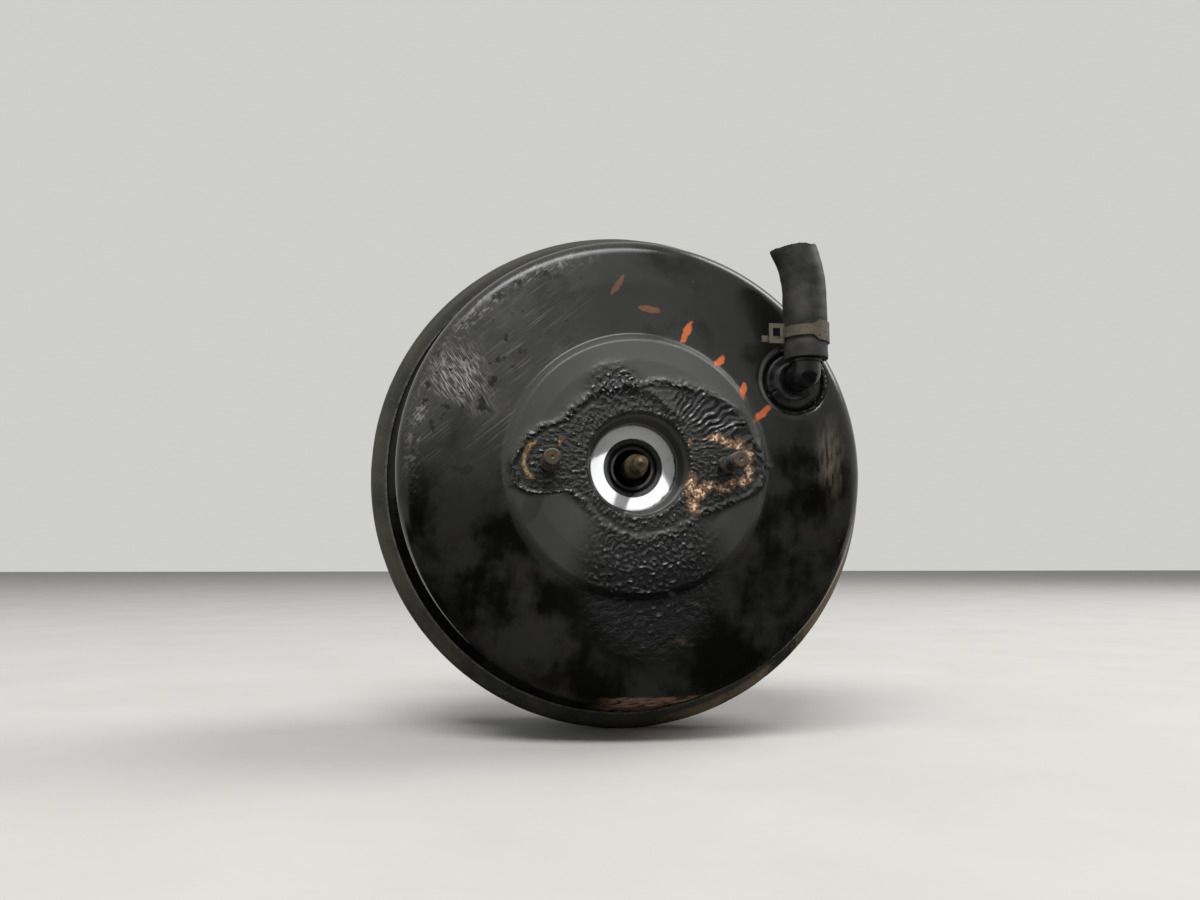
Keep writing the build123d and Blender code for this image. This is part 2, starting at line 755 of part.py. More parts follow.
nut_rear = clevis_front - 0.3
with BuildPart() as lock_nut:
    with BuildSketch(facing(center, nut_rear)):
        RegularPolygon(nut_width / 2, 6, major_radius=False)
        Circle(push_rod_radius + seat_gap, mode=Mode.SUBTRACT)
    extrude(amount=nut_thickness)
    revolve(section(
        (nut_width, nut_rear - nut_thickness + 2.6),
        (nut_width / 2, nut_rear - nut_thickness),
        (nut_width / 2 - 0.1, nut_rear - nut_thickness - 1),
        (0, nut_rear - nut_thickness - 1),
        (0, nut_rear + 1),
        (nut_width / 2 - 0.1, nut_rear + 1),
        (nut_width / 2, nut_rear),
        (nut_width, nut_rear - 2.6),
    ), axis=Axis.Y, mode=Mode.INTERSECT)
finish(lock_nut, "lock_nut")

# ---------------------------------------------------------------- check valve
stem_axis = axis_at(valve_center)
stem_plane = plane_at(valve_center)
grommet_front = pocket_floor_y - seat_gap
collar_y = grommet_front - grommet_lip - collar_height
shell_back = pocket_floor_y + sheet + seat_gap
valve_top = face_y + 3.0
valve_end = valve_top + valve_length
seat_y = valve_end - 2.0
outlet_y = face_y - outlet_reach

with BuildPart() as check_valve_grommet:
    revolve(section(
        (valve_stem + seat_gap, collar_y),
        (grommet_collar, collar_y),
        (grommet_collar + 0.5, grommet_front - grommet_lip),
        (grommet_flange - 0.8, grommet_front - grommet_lip),
        (grommet_flange, grommet_front - grommet_lip + 0.8),
        (grommet_flange, grommet_front),
        (grommet_hole - seat_gap, grommet_front),
        (grommet_hole - seat_gap, shell_back),
        (grommet_hole + 2.0, shell_back),
        (grommet_hole + 2.0, shell_back + 1.2),
        (grommet_hole - 0.4, shell_back + 3.4),
        (valve_stem + seat_gap, shell_back + 3.4),
        plane=stem_plane,
    ), axis=stem_axis)
finish(check_valve_grommet, "check_valve_grommet")

chamber = valve_stem - valve_wall
with BuildPart() as check_valve_body:
    revolve(section(
        (2.6, valve_end),
        (valve_stem - 0.8, valve_end),
        (valve_stem, valve_end - 0.8),
        (valve_stem, collar_y - seat_gap),
        (elbow_radius + 1.0, collar_y - seat_gap),
        (elbow_radius + 1.0, valve_top),
        (chamber, valve_top),
        (chamber, seat_y),
        (2.6, seat_y),
        plane=stem_plane,
    ), axis=stem_axis)
finish(check_valve_body, "check_valve_body")

disc_gap = 0.2
with BuildPart() as check_valve_disc:
    revolve(section(
        (0, seat_y - disc_gap - 1.4),
        (chamber - 0.4, seat_y - disc_gap - 1.4),
        (chamber - 0.4, seat_y - disc_gap),
        (0, seat_y - disc_gap),
        plane=stem_plane,
    ), axis=stem_axis)
finish(check_valve_disc, "check_valve_disc")

check_valve_spring = coil(3.6, 0.35, valve_top + seat_gap, seat_y - disc_gap - 1.4 - seat_gap, 4,
                          valve_center)
finish(check_valve_spring, "check_valve_spring")

outlet = Plane(origin=(valve_center.X, outlet_y, valve_center.Z), x_dir=(1, 0, 0),
               z_dir=(0, -1, 0))
outlet_axis = Axis((valve_center.X, outlet_y, valve_center.Z), (0, 0, 1))
nipple_end = hose_start + hose_grip
spring_ledge = 1.6
with BuildPart() as check_valve_elbow:
    # Stem, rounded corner and outlet, then the barbed nipple.
    with BuildSketch(facing(valve_center, valve_top - seat_gap)):
        Circle(elbow_radius)
    extrude(amount=valve_top - seat_gap - outlet_y)
    with Locations((valve_center.X, outlet_y, valve_center.Z)):
        Sphere(elbow_radius)
    with BuildSketch(outlet):
        with BuildLine():
            Polyline(
                (0, 0),
                (elbow_radius, 0),
                (elbow_radius, hose_start - 1.6),
                (elbow_radius + 1.0, hose_start - 1.6),
                (elbow_radius + 1.0, hose_start - 0.3),
                (nipple_radius, hose_start - 0.3),
                (nipple_radius, nipple_end - 9.0),
                (hose_bore - seat_gap, nipple_end - 9.0),
                (nipple_radius, nipple_end - 5.0),
                (hose_bore - seat_gap, nipple_end - 5.0),
                (nipple_radius - 1.0, nipple_end),
                (0, nipple_end),
                close=True,
            )
        make_face()
    revolve(axis=outlet_axis)
    # Passage from the valve to the hose.
    with BuildSketch(facing(valve_center, valve_top)):
        Circle(elbow_radius - 4.0)
    extrude(amount=2 * spring_ledge, mode=Mode.SUBTRACT)
    with BuildSketch(facing(valve_center, valve_top - spring_ledge)):
        Circle(outlet_bore)
    extrude(amount=valve_top - spring_ledge - outlet_y, mode=Mode.SUBTRACT)
    with Locations((valve_center.X, outlet_y, valve_center.Z)):
        Sphere(outlet_bore, mode=Mode.SUBTRACT)
        Cylinder(outlet_bore, nipple_end + 1, mode=Mode.SUBTRACT,
                 align=(Align.CENTER, Align.CENTER, Align.MIN))
finish(check_valve_elbow, "check_valve_elbow")

# ---------------------------------------------------------------- hose stub, cut off square
with BuildPart() as vacuum_hose:
    with BuildLine(outlet):
        grip = Line((0, hose_start), (0, hose_start + hose_straight))
        bend = JernArc(grip @ 1, grip % 1, hose_bend_radius, hose_bend)
        Line(bend @ 1, bend @ 1 + hose_end_length * (bend % 1))
    with BuildSketch(Plane(origin=grip @ 0, z_dir=grip % 0)):
        Circle(hose_bore + hose_wall)
        Circle(hose_bore, mode=Mode.SUBTRACT)
    sweep()
finish(vacuum_hose, "vacuum_hose")

# ---------------------------------------------------------------- constant-tension hose clamp
clamp_radius = hose_bore + hose_wall + seat_gap
clamp_outer = clamp_radius + clamp_sheet
clamp_z = valve_center.Z + clamp_rise
clamp_plane = Plane(origin=(valve_center.X, outlet_y, clamp_z), x_dir=(1, 0, 0), z_dir=(0, 0, 1))
window_height = 5.2
clamp_tab = 3.0
clamp_tab_drop = 2.3           # tab's middle below the clamp's
window_reach = 3.6
with BuildPart() as hose_clamp:
    with BuildSketch(clamp_plane):
        Circle(clamp_outer)
        Circle(clamp_radius, mode=Mode.SUBTRACT)
    extrude(amount=clamp_height / 2, both=True)
    # The band narrows to a strap on its front left quarter.
    with BuildSketch(Plane(origin=(valve_center.X, outlet_y - clamp_radius, clamp_z),
                           x_dir=(1, 0, 0), z_dir=(0, -1, 0))):
        for edge in (-1, 1):
            with BuildLine():
                Polyline(
                    (3.0, edge * (clamp_height / 2 + 1)),
                    (3.0, edge * clamp_height / 2),
                    (0, edge * clamp_strap / 2),
                    (-clamp_outer - 1, edge * clamp_strap / 2),
                    (-clamp_outer - 1, edge * (clamp_height / 2 + 1)),
                    close=True,
                )
            make_face()
    extrude(amount=clamp_radius, both=True, mode=Mode.SUBTRACT)
    # Forked ear with its window, and the strap's own tab beside it.
    ear_plane = Plane(origin=(valve_center.X - clamp_radius, outlet_y, clamp_z),
                      x_dir=(-1, 0, 0), z_dir=(0, -1, 0))
    with BuildSketch(ear_plane):
        Rectangle(clamp_ear, clamp_height, align=(Align.MIN, Align.CENTER))
        with Locations((clamp_ear - 1.8 - window_reach, 0)):
            Rectangle(window_reach, window_height, align=(Align.MIN, Align.CENTER),
                      mode=Mode.SUBTRACT)
    extrude(amount=clamp_sheet)
    with BuildSketch(ear_plane.offset(-1.2)):
        with Locations((0, clamp_tab_drop)):
            Rectangle(clamp_ear + 3.0, clamp_tab, align=(Align.MIN, Align.CENTER))
    extrude(amount=-clamp_sheet)
finish(hose_clamp, "hose_clamp")
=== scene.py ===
"""Looks of a vacuum brake booster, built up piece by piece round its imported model.

Metres, in the model's own frame: the booster's axis is Y, with the brake pedal towards +Y and
the master cylinder towards -Y. Z is up. Outlines of turned pieces are in millimetres.
"""
import math

import bmesh
import bpy
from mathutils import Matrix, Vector, noise


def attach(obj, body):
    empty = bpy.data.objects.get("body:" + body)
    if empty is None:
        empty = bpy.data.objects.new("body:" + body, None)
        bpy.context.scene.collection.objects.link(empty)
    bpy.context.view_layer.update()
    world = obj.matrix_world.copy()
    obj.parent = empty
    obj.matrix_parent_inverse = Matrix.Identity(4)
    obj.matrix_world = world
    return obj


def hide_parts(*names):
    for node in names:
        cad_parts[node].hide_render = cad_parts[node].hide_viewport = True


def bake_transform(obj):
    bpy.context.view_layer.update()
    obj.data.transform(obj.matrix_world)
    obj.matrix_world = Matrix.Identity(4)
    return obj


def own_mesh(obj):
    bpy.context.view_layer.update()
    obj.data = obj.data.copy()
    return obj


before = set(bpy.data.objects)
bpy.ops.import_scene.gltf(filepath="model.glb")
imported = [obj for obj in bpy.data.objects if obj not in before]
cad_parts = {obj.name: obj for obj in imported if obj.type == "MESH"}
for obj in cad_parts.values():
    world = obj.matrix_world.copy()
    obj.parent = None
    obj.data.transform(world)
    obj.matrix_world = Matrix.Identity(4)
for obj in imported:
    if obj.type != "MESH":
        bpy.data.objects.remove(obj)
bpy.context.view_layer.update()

# ---------------------------------------------------------------- table, backdrop, lamps, camera
# The booster stands on its rolled rim on a pale table. A long soft ceiling panel hangs over and
# in front of it, a weaker one to its right, and a small lamp shines into its pilot hole.
rim_radius = 0.1317
camera_aim = Vector((0.1149, 0.9858, 0.1221))
bpy.ops.object.camera_add(location=(-0.0672, -0.5317, -0.0454))
camera = bpy.context.object
camera.rotation_euler = camera_aim.to_track_quat("-Z", "Y").to_euler()
camera.data.sensor_width = 36
camera.data.lens = 27
bpy.context.scene.camera = camera
bpy.context.scene.view_settings.view_transform = "Standard"


class Signal:
    """One socket of a material's node tree, so that sums on it add their own Math nodes."""

    def __init__(self, tree, socket=None):
        self.tree = tree
        self.socket = socket

    def node(self, kind, settings, sockets, output=0):
        """Add a node, set it up, fill its sockets with values or links, and give one output."""
        made = self.tree.nodes.new("ShaderNode" + kind)
        for name, value in settings.items():
            if name == "stops":
                while len(made.color_ramp.elements) < len(value):
                    made.color_ramp.elements.new(1)
                for element, (position, colour) in zip(made.color_ramp.elements, value):
                    element.position = position
                    element.color = colour
            else:
                setattr(made, name, value)
        for name, value in sockets.items():
            if isinstance(value, Signal):
                self.tree.links.new(value.socket, made.inputs[name])
            else:
                made.inputs[name].default_value = value
        return Signal(self.tree, made.outputs[output] if made.outputs else None)

    def math(self, operation, *values):
        return self.node("Math", {"operation": operation}, dict(enumerate(values)))

    def __add__(self, other):
        return self.math("ADD", self, other)

    def __sub__(self, other):
        return self.math("SUBTRACT", self, other)

    def __rsub__(self, other):
        return self.math("SUBTRACT", other, self)

    def __mul__(self, other):
        return self.math("MULTIPLY", self, other)

    __radd__ = __add__
    __rmul__ = __mul__


def new_material(name):
    """An empty material, and the signal of its Object coordinates."""
    made = bpy.data.materials.new(name)
    made.use_nodes = True
    made.node_tree.nodes.clear()
    return made, Signal(made.node_tree).node("TexCoord", {}, {}, output=3)


def surface(colour, roughness, metallic=0.0, normal=None, others=None):
    """End a material in a Principled surface."""
    sockets = {"Base Color": colour, "Roughness": roughness, "Metallic": metallic}
    sockets.update(others or {})
    if normal:
        sockets["Normal"] = normal
    shader = colour.node("BsdfPrincipled", {}, sockets)
    colour.node("OutputMaterial", {}, {"Surface": shader})


def diffuse(place, colour):
    """End a material in a matt surface."""
    lit = place.node("BsdfDiffuse", {}, {"Color": colour})
    place.node("OutputMaterial", {}, {"Surface": lit})


def coated(name, *pieces):
    """Give pieces, packed ones by their names, a new material, and return its coordinates."""
    made, place = new_material(name)
    for piece in pieces:
        if isinstance(piece, str):
            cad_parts[piece].material_slots[0].material = made
        else:
            piece.data.materials.clear()
            piece.data.materials.append(made)
    return place


def axes(place):
    """The x, y and z signals of a place."""
    parted = place.node("SeparateXYZ", {}, {"Vector": place})
    return [Signal(place.tree, socket) for socket in parted.socket.node.outputs]


def span(first, second):
    """Distance in a plane, from its two coordinates."""
    squares = first * first + second * second
    return squares.math("SQRT", squares)


def larger(first, second):
    return first.math("MAXIMUM", first, second)


def bumped(strength, distance, height):
    """Normal of a surface with small bumps, of that distance in metres."""
    return height.node("Bump", {}, {"Strength": strength, "Distance": distance, "Height": height})


def blended(mask, low, high):
    """Colour that goes from low to high with the mask."""
    return mask.node("Mix", {"data_type": "RGBA"}, {0: mask, 6: low, 7: high}, output=2)


def between(signal, low, high):
    """0 below low, 1 above high, smooth between."""
    settings = {"interpolation_type": "SMOOTHSTEP"}
    return signal.node("MapRange", settings, {0: signal, 1: low, 2: high, 3: 0.0, 4: 1.0})


def band(signal, start, full, fading, end):
    """1 between full and fading, and 0 before the start and after the end."""
    return between(signal, start, full) * (1 - between(signal, fading, end))


def speckle(place, scale, detail=3.0, roughness=0.55):
    """Noise of that many lumps to a metre."""
    sockets = {"Vector": place, "Scale": scale, "Detail": detail, "Roughness": roughness}
    return place.node("TexNoise", {}, sockets)


def combed(place, scales, roughness=0.55):
    """Noise drawn out along an axis, of that many lumps to a metre along x, y and z."""
    laid = place.node("Mapping", {}, {"Vector": place, "Scale": scales})
    return speckle(laid, 1.0, 4, roughness)


bpy.ops.mesh.primitive_plane_add(size=14, location=(0, 0, -rim_radius))
table = bpy.context.object
table.name = "table"
table_paint, place = new_material("table_paint")
mottled = speckle(place, 9, 5)
pale = blended(mottled, (0.60, 0.585, 0.55, 1), (0.70, 0.685, 0.65, 1))
diffuse(place, pale)
table.data.materials.append(table_paint)

# Dark cards that only reflections show, one sloping up in front and one lying under the edge.
# They keep a black glossy face black.
card_black, place = new_material("card_black")
diffuse(place, (0.02, 0.02, 0.02, 1))
just_over_table = 0.0005 - rim_radius
for name, spot, size, tilt in (("front_card", (0.55, -1.15, 0.17), (2.1, 2.0), -17),
                               ("floor_card", (-0.10, -0.17, just_over_table), (1.1, 0.42), 0)):
    bpy.ops.mesh.primitive_plane_add(size=1, location=spot)
    card = bpy.context.object
    card.name = name
    card.scale = (*size, 1)
    card.rotation_euler.x = math.radians(tilt)
    bpy.ops.object.transform_apply(location=True, rotation=True, scale=True)
    card.data.materials.append(card_black)
    card.visible_camera = card.visible_diffuse = card.visible_shadow = False
    card.visible_transmission = False

world = bpy.data.worlds.new("room")
bpy.context.scene.world = world
world.use_nodes = True
world.node_tree.nodes.clear()
room = Signal(world.node_tree)
rays = room.node("LightPath", {}, {})
seen = larger(rays, room.node("LightPath", {}, {}, output=3))
seen = larger(seen, room.node("LightPath", {}, {}, output=6))
tone = blended(seen, (0.30, 0.305, 0.32, 1), (0.62, 0.62, 0.60, 1))
sky = room.node("Background", {}, {"Color": tone, "Strength": 1.0})
room.node("OutputWorld", {}, {"Surface": sky})

for name, spot, size, energy in (("ceiling_panel", (-0.6, -1.75, 2.9), (2.6, 1.1), 84),
                                 ("side_panel", (2.1, 0.30, 2.2), (1.0, 2.4), 50),
                                 ("pilot_lamp", (0.22, -0.80, 0.62), (0.08, 0.08), 0.040)):
    bpy.ops.object.light_add(type="AREA", location=spot)
    panel = bpy.context.object
    panel.name = name
    panel.data.shape = "RECTANGLE"
    panel.data.size, panel.data.size_y = size
    panel.data.energy = energy
    panel.rotation_euler = (-panel.location).to_track_quat("-Z", "Y").to_euler()
# The pilot lamp's beam is narrow, so that only the ring in the tube catches it.
panel.data.spread = math.radians(6)
panel.visible_glossy = False
aim = Vector((0, -0.098, -0.006)) - panel.location
panel.rotation_euler = aim.to_track_quat("-Z", "Y").to_euler()

# ---------------------------------------------------------------- front shell
# One deep pressing of 1.6 mm steel, painted black: the drawn tube of the pilot hole, the raised
# plateau that the master cylinder bolts to, the annulus, the wall and the flange that the rear
# shell's rim is rolled over. Brake fluid has lifted and wrinkled the paint round the flange print.


def pick(piece, part, test):
    """Select only the vertices, edges or faces whose middle passes a test, in edit mode."""
    bpy.ops.mesh.select_all(action="DESELECT")
    bpy.ops.mesh.select_mode(type={"verts": "VERT", "edges": "EDGE", "faces": "FACE"}[part])
    mesh = bmesh.from_edit_mesh(piece.data)
    for item in getattr(mesh, part):
        if part == "verts":
            middle = item.co
        else:
            middle = sum((corner.co for corner in item.verts), Vector()) / len(item.verts)
        item.select_set(test(middle))
    mesh.select_flush_mode()
    bmesh.update_edit_mesh(piece.data)


def lay_line(piece, corners, roundings):
    """Extrude a line through (radius, y) corners from the vertex at the first, then round it."""
    spots = [Vector((radius / 1000, y / 1000, 0)) for radius, y in corners]
    pick(piece, "verts", lambda middle: (middle - spots[0]).length < 1e-7)
    for start, end in zip(spots, spots[1:]):
        bpy.ops.mesh.extrude_vertices_move(TRANSFORM_OT_translate={"value": end - start})
    for before, spot, after, rounding in zip(spots, spots[1:], spots[2:], roundings):
        turn = (spot - before).angle(after - spot)
        if rounding > 0 and turn > 0.01:
            pick(piece, "verts", lambda middle: (middle - spot).length < 1e-7)
            bpy.ops.mesh.bevel(offset=rounding / 1000 * math.tan(turn / 2), affect="VERTICES",
                               segments=max(2, round(math.degrees(turn) / 11)))


def turned(name, corners, roundings, wall=0.0, steps=128, grain=None):
    """Turn a piece about Y from the corners of its outline, in millimetres.

    With a wall, the outline is one face of a sheet that lies on its left. Runs of that face are
    divided to the grain.
    """
    bpy.ops.object.select_all(action="DESELECT")
    bpy.ops.mesh.primitive_plane_add(size=0.001)
    piece = bpy.context.object
    piece.name = name
    bpy.ops.object.mode_set(mode="EDIT")
    bpy.ops.mesh.select_mode(type="VERT")
    bpy.ops.mesh.select_all(action="SELECT")
    bpy.ops.mesh.merge(type="CENTER")
    bpy.ops.transform.translate(value=(corners[0][0] / 1000, corners[0][1] / 1000, 0))
    lay_line(piece, corners, roundings)
    if grain:
        mesh = bmesh.from_edit_mesh(piece.data)
        runs = [(edge.verts[0].co.copy(), edge.verts[1].co.copy()) for edge in mesh.edges]
        for start, end in runs:
            cuts = int((end - start).length / grain(1000 * (start + end).x / 2))
            if cuts:
                middle = (start + end) / 2
                pick(piece, "edges", lambda spot: (spot - middle).length < 1e-8)
                bpy.ops.mesh.subdivide(number_cuts=cuts)
    if wall:
        lines = []
        for (x, y), (next_x, next_y) in zip(corners, corners[1:]):
            length = math.hypot(next_x - x, next_y - y)
            lines.append(((next_x - x) / length, (next_y - y) / length, x, y))
        inner = []
        for (dx, dy, x, y), (ex, ey, u, v) in zip(lines, lines[1:]):
            x, y, u, v = x - wall * dy, y + wall * dx, u - wall * ey, v + wall * ex
            reach = ((u - x) * ey - (v - y) * ex) / (dx * ey - dy * ex)
            inner.append((x + reach * dx, y + reach * dy))
        dx, dy, x, y = lines[0]
        inner.insert(0, (x - wall * dy, y + wall * dx))
        dx, dy, x, y = lines[-1]
        inner.append((corners[-1][0] - wall * dy, corners[-1][1] + wall * dx))
        inner_roundings = []
        for (dx, dy, _, _), (ex, ey, _, _), rounding in zip(lines, lines[1:], roundings):
            side = wall if dx * ey - dy * ex < 0 else -wall
            inner_roundings.append(max(rounding + side, 0.15))
        lay_line(piece, [corners[-1]] + inner[::-1], [0] + inner_roundings[::-1])
        first = Vector((corners[0][0] / 1000, corners[0][1] / 1000, 0))
        last = Vector((inner[0][0] / 1000, inner[0][1] / 1000, 0))
        pick(piece, "verts", lambda spot: min((spot - first).length, (spot - last).length) < 1e-7)
        bpy.ops.mesh.edge_face_add()
    bpy.ops.mesh.select_all(action="SELECT")
    bpy.ops.mesh.spin(steps=steps, angle=2 * math.pi, center=(0, 0, 0), axis=(0, 1, 0))
    bpy.ops.mesh.select_all(action="SELECT")
    bpy.ops.mesh.remove_doubles(threshold=2e-6)
    bpy.ops.mesh.normals_make_consistent(inside=False)
    bpy.ops.object.mode_set(mode="OBJECT")
    return piece


def choose(*pieces):
    """Select these pieces only, the first of them active."""
    bpy.ops.object.select_all(action="DESELECT")
    for piece in pieces:
        piece.select_set(True)
    bpy.context.view_layer.objects.active = pieces[0]


def smooth(piece, angle=32):
    """Shade a piece smooth, except across edges sharper than the angle."""
    choose(piece)
    bpy.ops.object.shade_smooth_by_angle(angle=math.radians(angle))


def combine(piece, other, operation):
    """Cut another closed piece away from a piece, or weld it on, and drop the other."""
    choose(piece)
    step = piece.modifiers.new("step", "BOOLEAN")
    step.operation = operation
    step.solver = "EXACT"
    step.object = other
    bpy.ops.object.modifier_apply(modifier="step")
    bpy.data.objects.remove(other)


def moved(piece, offset):
    """Move a piece's mesh, and leave its object at the origin."""
    choose(piece)
    piece.location = offset
    bpy.ops.object.transform_apply(location=True, rotation=False, scale=False)
    return piece


shell_outline = [(15.5, -88.6), (21.4, -88.6), (21.4, -100), (23.8, -103.5), (23.8, -114),
                 (50, -114), (60.5, -112.4), (64.1, -108.8), (90, -106.6), (115, -102.5),
                 (115, -57.35), (126.5, -57.35)]
shell_roundings = [1, 2, 2, 2.6, 8, 2, 2, 40, 9.2, 2.6]
valve_x, valve_z = 79.55, 43.37
front_shell = turned("front_shell_pressing", shell_outline, shell_roundings, wall=1.6, steps=424,
                     grain=lambda radius: 0.0008 if 24 < radius < 64 else
                     (0.0012 if radius < 112 else 0.006))

# Edge of the print that the master cylinder's flange left, as degrees and millimetres.
print_edge = [(-180, 57.5), (-169.8, 56.6), (-163.9, 49.7), (-159, 33.8), (-145, 29.8), (-90, 33),
              (-53, 34), (-34, 37.4), (-21, 47.2), (-12.3, 56.3), (-4.8, 59.7), (0.5, 61),
              (7.8, 56.5), (21, 54), (32, 51.3), (45, 46.5), (58.6, 42.2), (73, 38.6), (90, 36),
              (105, 36.2), (120.7, 37.2), (136, 37.5), (150.8, 39), (158.6, 45.4), (166, 51),
              (180, 57.5)]
# Where the paint is gone, as middle, half sizes and slope: dried fluid and rust on the steel.
bare_spots = [(37, 13, 3.6, 2.6, 0.1), (42.5, 11.2, 4.4, 2.8, -0.3), (48.5, 9.5, 3.6, 3.4, 0),
              (52.6, 4, 3, 5, 0.3), (53.6, -3.2, 2.8, 4.6, -0.3), (50.5, -8, 3, 2.6, 0.4),
              (24.4, -9.6, 3.4, 5.6, 0.3), (28.5, -13.5, 4.2, 3.6, 0.1), (26, -19, 3.2, 4.6, 0.2),
              (33, -10.2, 4.4, 2.4, 0.2), (40.5, -11.4, 5, 1.9, 0), (24.6, 10.4, 1.3, 1.4, 0),
              (-37.2, 10.4, 1, 2.2, 0.5), (44.5, -8.5, 2.6, 1.6, 0)]


def round_axis(piece):
    """Each vertex of a piece, its place in millimetres, and its distance and turn about Y."""
    for corner in piece.data.vertices:
        x, y, z = 1000 * corner.co
        yield corner, x, y, z, math.hypot(x, z), math.atan2(z, x)


def ease(value, low, high):
    """0 at low, 1 at high, smooth between."""
    share = min(max((value - low) / (high - low), 0.0), 1.0)
    return share * share * (3 - 2 * share)


def lump(x, y, z):
    """Smooth noise, from about -1 to 1, at a spot."""
    return noise.noise(Vector((x, y, z)))


def crease(x, y, z):
    """Sharp ridges, from 0 to 1, that wander like folds in a skin."""
    return max(0.0, 1 - 2.6 * abs(lump(x, y, z)))


def ringed(around, count, seed):
    """Smooth noise round a ring, of that many lumps to a radian."""
    return lump(math.cos(around) * count, math.sin(around) * count, seed)


def pull(corner, scale):
    """Scale a vertex's distance from the axis."""
    corner.co.x *= scale
    corner.co.z *= scale


def paint_skin(x, z):
    """Height of the swollen paint, and how wrinkled and how bare the face is, in millimetres."""
    radius, angle = math.hypot(x, z), math.degrees(math.atan2(z, x))
    for (start, low), (end, high) in zip(print_edge, print_edge[1:]):
        if start <= angle <= end:
            outside = radius - low - (high - low) * (angle - start) / (end - start)
            break
    across, along = math.cos(math.radians(angle)), math.sin(math.radians(angle))
    outside += 0.9 * lump(x / 5, z / 5, 3)
    below = ease(-z, 8, 30) * (1 - ease(abs(x), 22, 34))
    bunched = math.exp(-((outside - 1.7) / 2.3) ** 2) * (1 - 0.55 * below)
    lumps = lump(x / 1.6, z / 1.6, 1) + 0.7 * lump(x / 0.95, z / 0.95, 2)
    lumps = max(0.0, lumps + 0.12)
    stray = 1.3 * lump(x / 4.5, z / 4.5, 14)
    ripple = crease(across * 19 + stray, along * 19 - stray, outside / 3.2)
    height = bunched * (0.08 + 0.75 * ripple + 0.95 * lumps)
    height += 0.3 * ease(outside, 0, 2) * (1 - ease(outside, 3, 9)) * crease(x / 2.6, z / 2.6, 8)
    reach, turn = math.hypot(x - 8, z - 4), math.degrees(math.atan2(z - 4, x - 8))
    fan = ease(turn, 4, 12) * (1 - ease(turn, 66, 82))
    fan *= ease(reach, 20, 27) * (1 - ease(outside, 1, 3.5))
    fold = abs(((turn / 5.2 + 0.9 * lump(x / 7, z / 7, 5)) % 1) * 2 - 1) ** 1.6
    length = 0.5 + 0.9 * lump(turn / 6, reach / 9, 11)
    height += 1.4 * fan * fold * max(0.2, length)
    low_skin = (1 - ease(math.hypot((x - 6) / 46, (z + 56) / 52), 0.45, 1)) * ease(outside, -1, 3)
    high_skin = 1 - ease(math.hypot((x + 11) / 19, (z - 37) / 15), 0.4, 1)
    inside = (1 - ease(outside, -3, 0.5)) * (1 - 0.85 * fan) * ease(abs(radius - 22), 1, 4)
    skin = max(low_skin, high_skin, 0.75 * inside)
    height += 1.05 * skin * lumps
    roll = ease(angle, 40, 52) * (1 - ease(angle, 94, 104))
    roll *= math.exp(-((radius - 29 - 7.8 * ease(angle, 45, 100)) / 2.4) ** 2)
    height += 0.9 * roll
    height += 0.55 * math.exp(-((radius - 25.2) / 1.4) ** 2) * crease(across * 14, along * 14, 20)
    bare = 0.0
    for middle_x, middle_z, half_x, half_z, slope in bare_spots:
        u, v = x - middle_x, z - middle_z - slope * (x - middle_x)
        bare = max(bare, 1.25 - 0.75 * math.hypot(u / half_x, v / half_z))
    ring, turn = math.hypot(x + 44.2, z - 1.0), math.degrees(math.atan2(z - 1.0, x + 44.2)) % 360
    arc = ease(turn, 105, 125) * (1 - ease(turn, 222, 250))
    bare = max(bare, 1.3 * arc * math.exp(-((ring - 10.0) / 1.3) ** 2))
    bare = max(0.0, min(1.0, bare + 0.5 * lump(x / 1.6, z / 1.6, 30)))
    height = height * (1 - 0.6 * ease(bare, 0.35, 0.7)) + 0.35 * ease(bare, 0.4, 0.6) * lumps
    return height, min(1.0, max(skin, bunched, fan, 0.8 * roll)), bare


wrinkled = front_shell.data.attributes.new("wrinkled", "FLOAT", "POINT")
stripped = front_shell.data.attributes.new("stripped", "FLOAT", "POINT")
facing = [corner.normal.y for corner in front_shell.data.vertices]
for (corner, x, y, z, radius, around), turned_to in zip(round_axis(front_shell), facing):
    if turned_to < -0.35 and 23.8 < radius < 113 and y < -99:
        height, skin, bare = paint_skin(x, z)
        corner.co.y -= height / 1000
        wrinkled.data[corner.index].value = skin
        stripped.data[corner.index].value = bare
    if abs(turned_to) > 0.35 and y < -97:
        near = math.hypot(x - valve_x, z - valve_z)
        corner.co.y += 0.0026 * (1 - ease(near, 15.0, 18.8))


def disc(radius, low, high, roundings=(0, 0), steps=48):
    """A plain disc about Y, in millimetres, to weld on or to cut away."""
    outline = [(0, low), (radius, low), (radius, high), (0, high)]
    return turned("disc", outline, roundings, steps=steps)


valve_place = (valve_x / 1000, 0, valve_z / 1000)
stud_reach = 0.0425
stud_hole_radius = 4.65
# The check valve's pocket is drawn back, hollowed from the front and pierced.
combine(front_shell, moved(disc(17.2, -105.2, -101.4, (0.6, 0.6), 96), valve_place), "UNION")
combine(front_shell, moved(disc(15.6, -120, -103, (0, 1.8), 96), valve_place), "DIFFERENCE")
combine(front_shell, moved(disc(9.5, -110, -95, steps=64), valve_place), "DIFFERENCE")
for side in (-1, 1):
    stud_hole = moved(disc(stud_hole_radius, -120, -108), (side * stud_reach, 0, 0))
    combine(front_shell, stud_hole, "DIFFERENCE")
smooth(front_shell, 40)

place = coated("wrinkled_black_paint", front_shell)
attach(front_shell, "housing")
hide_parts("front_shell")
x, y, z = axes(place)
radius = span(x, z)
skin = place.node("Attribute", {"attribute_name": "wrinkled"}, {}, output=2)
bare = place.node("Attribute", {"attribute_name": "stripped"}, {}, output=2)


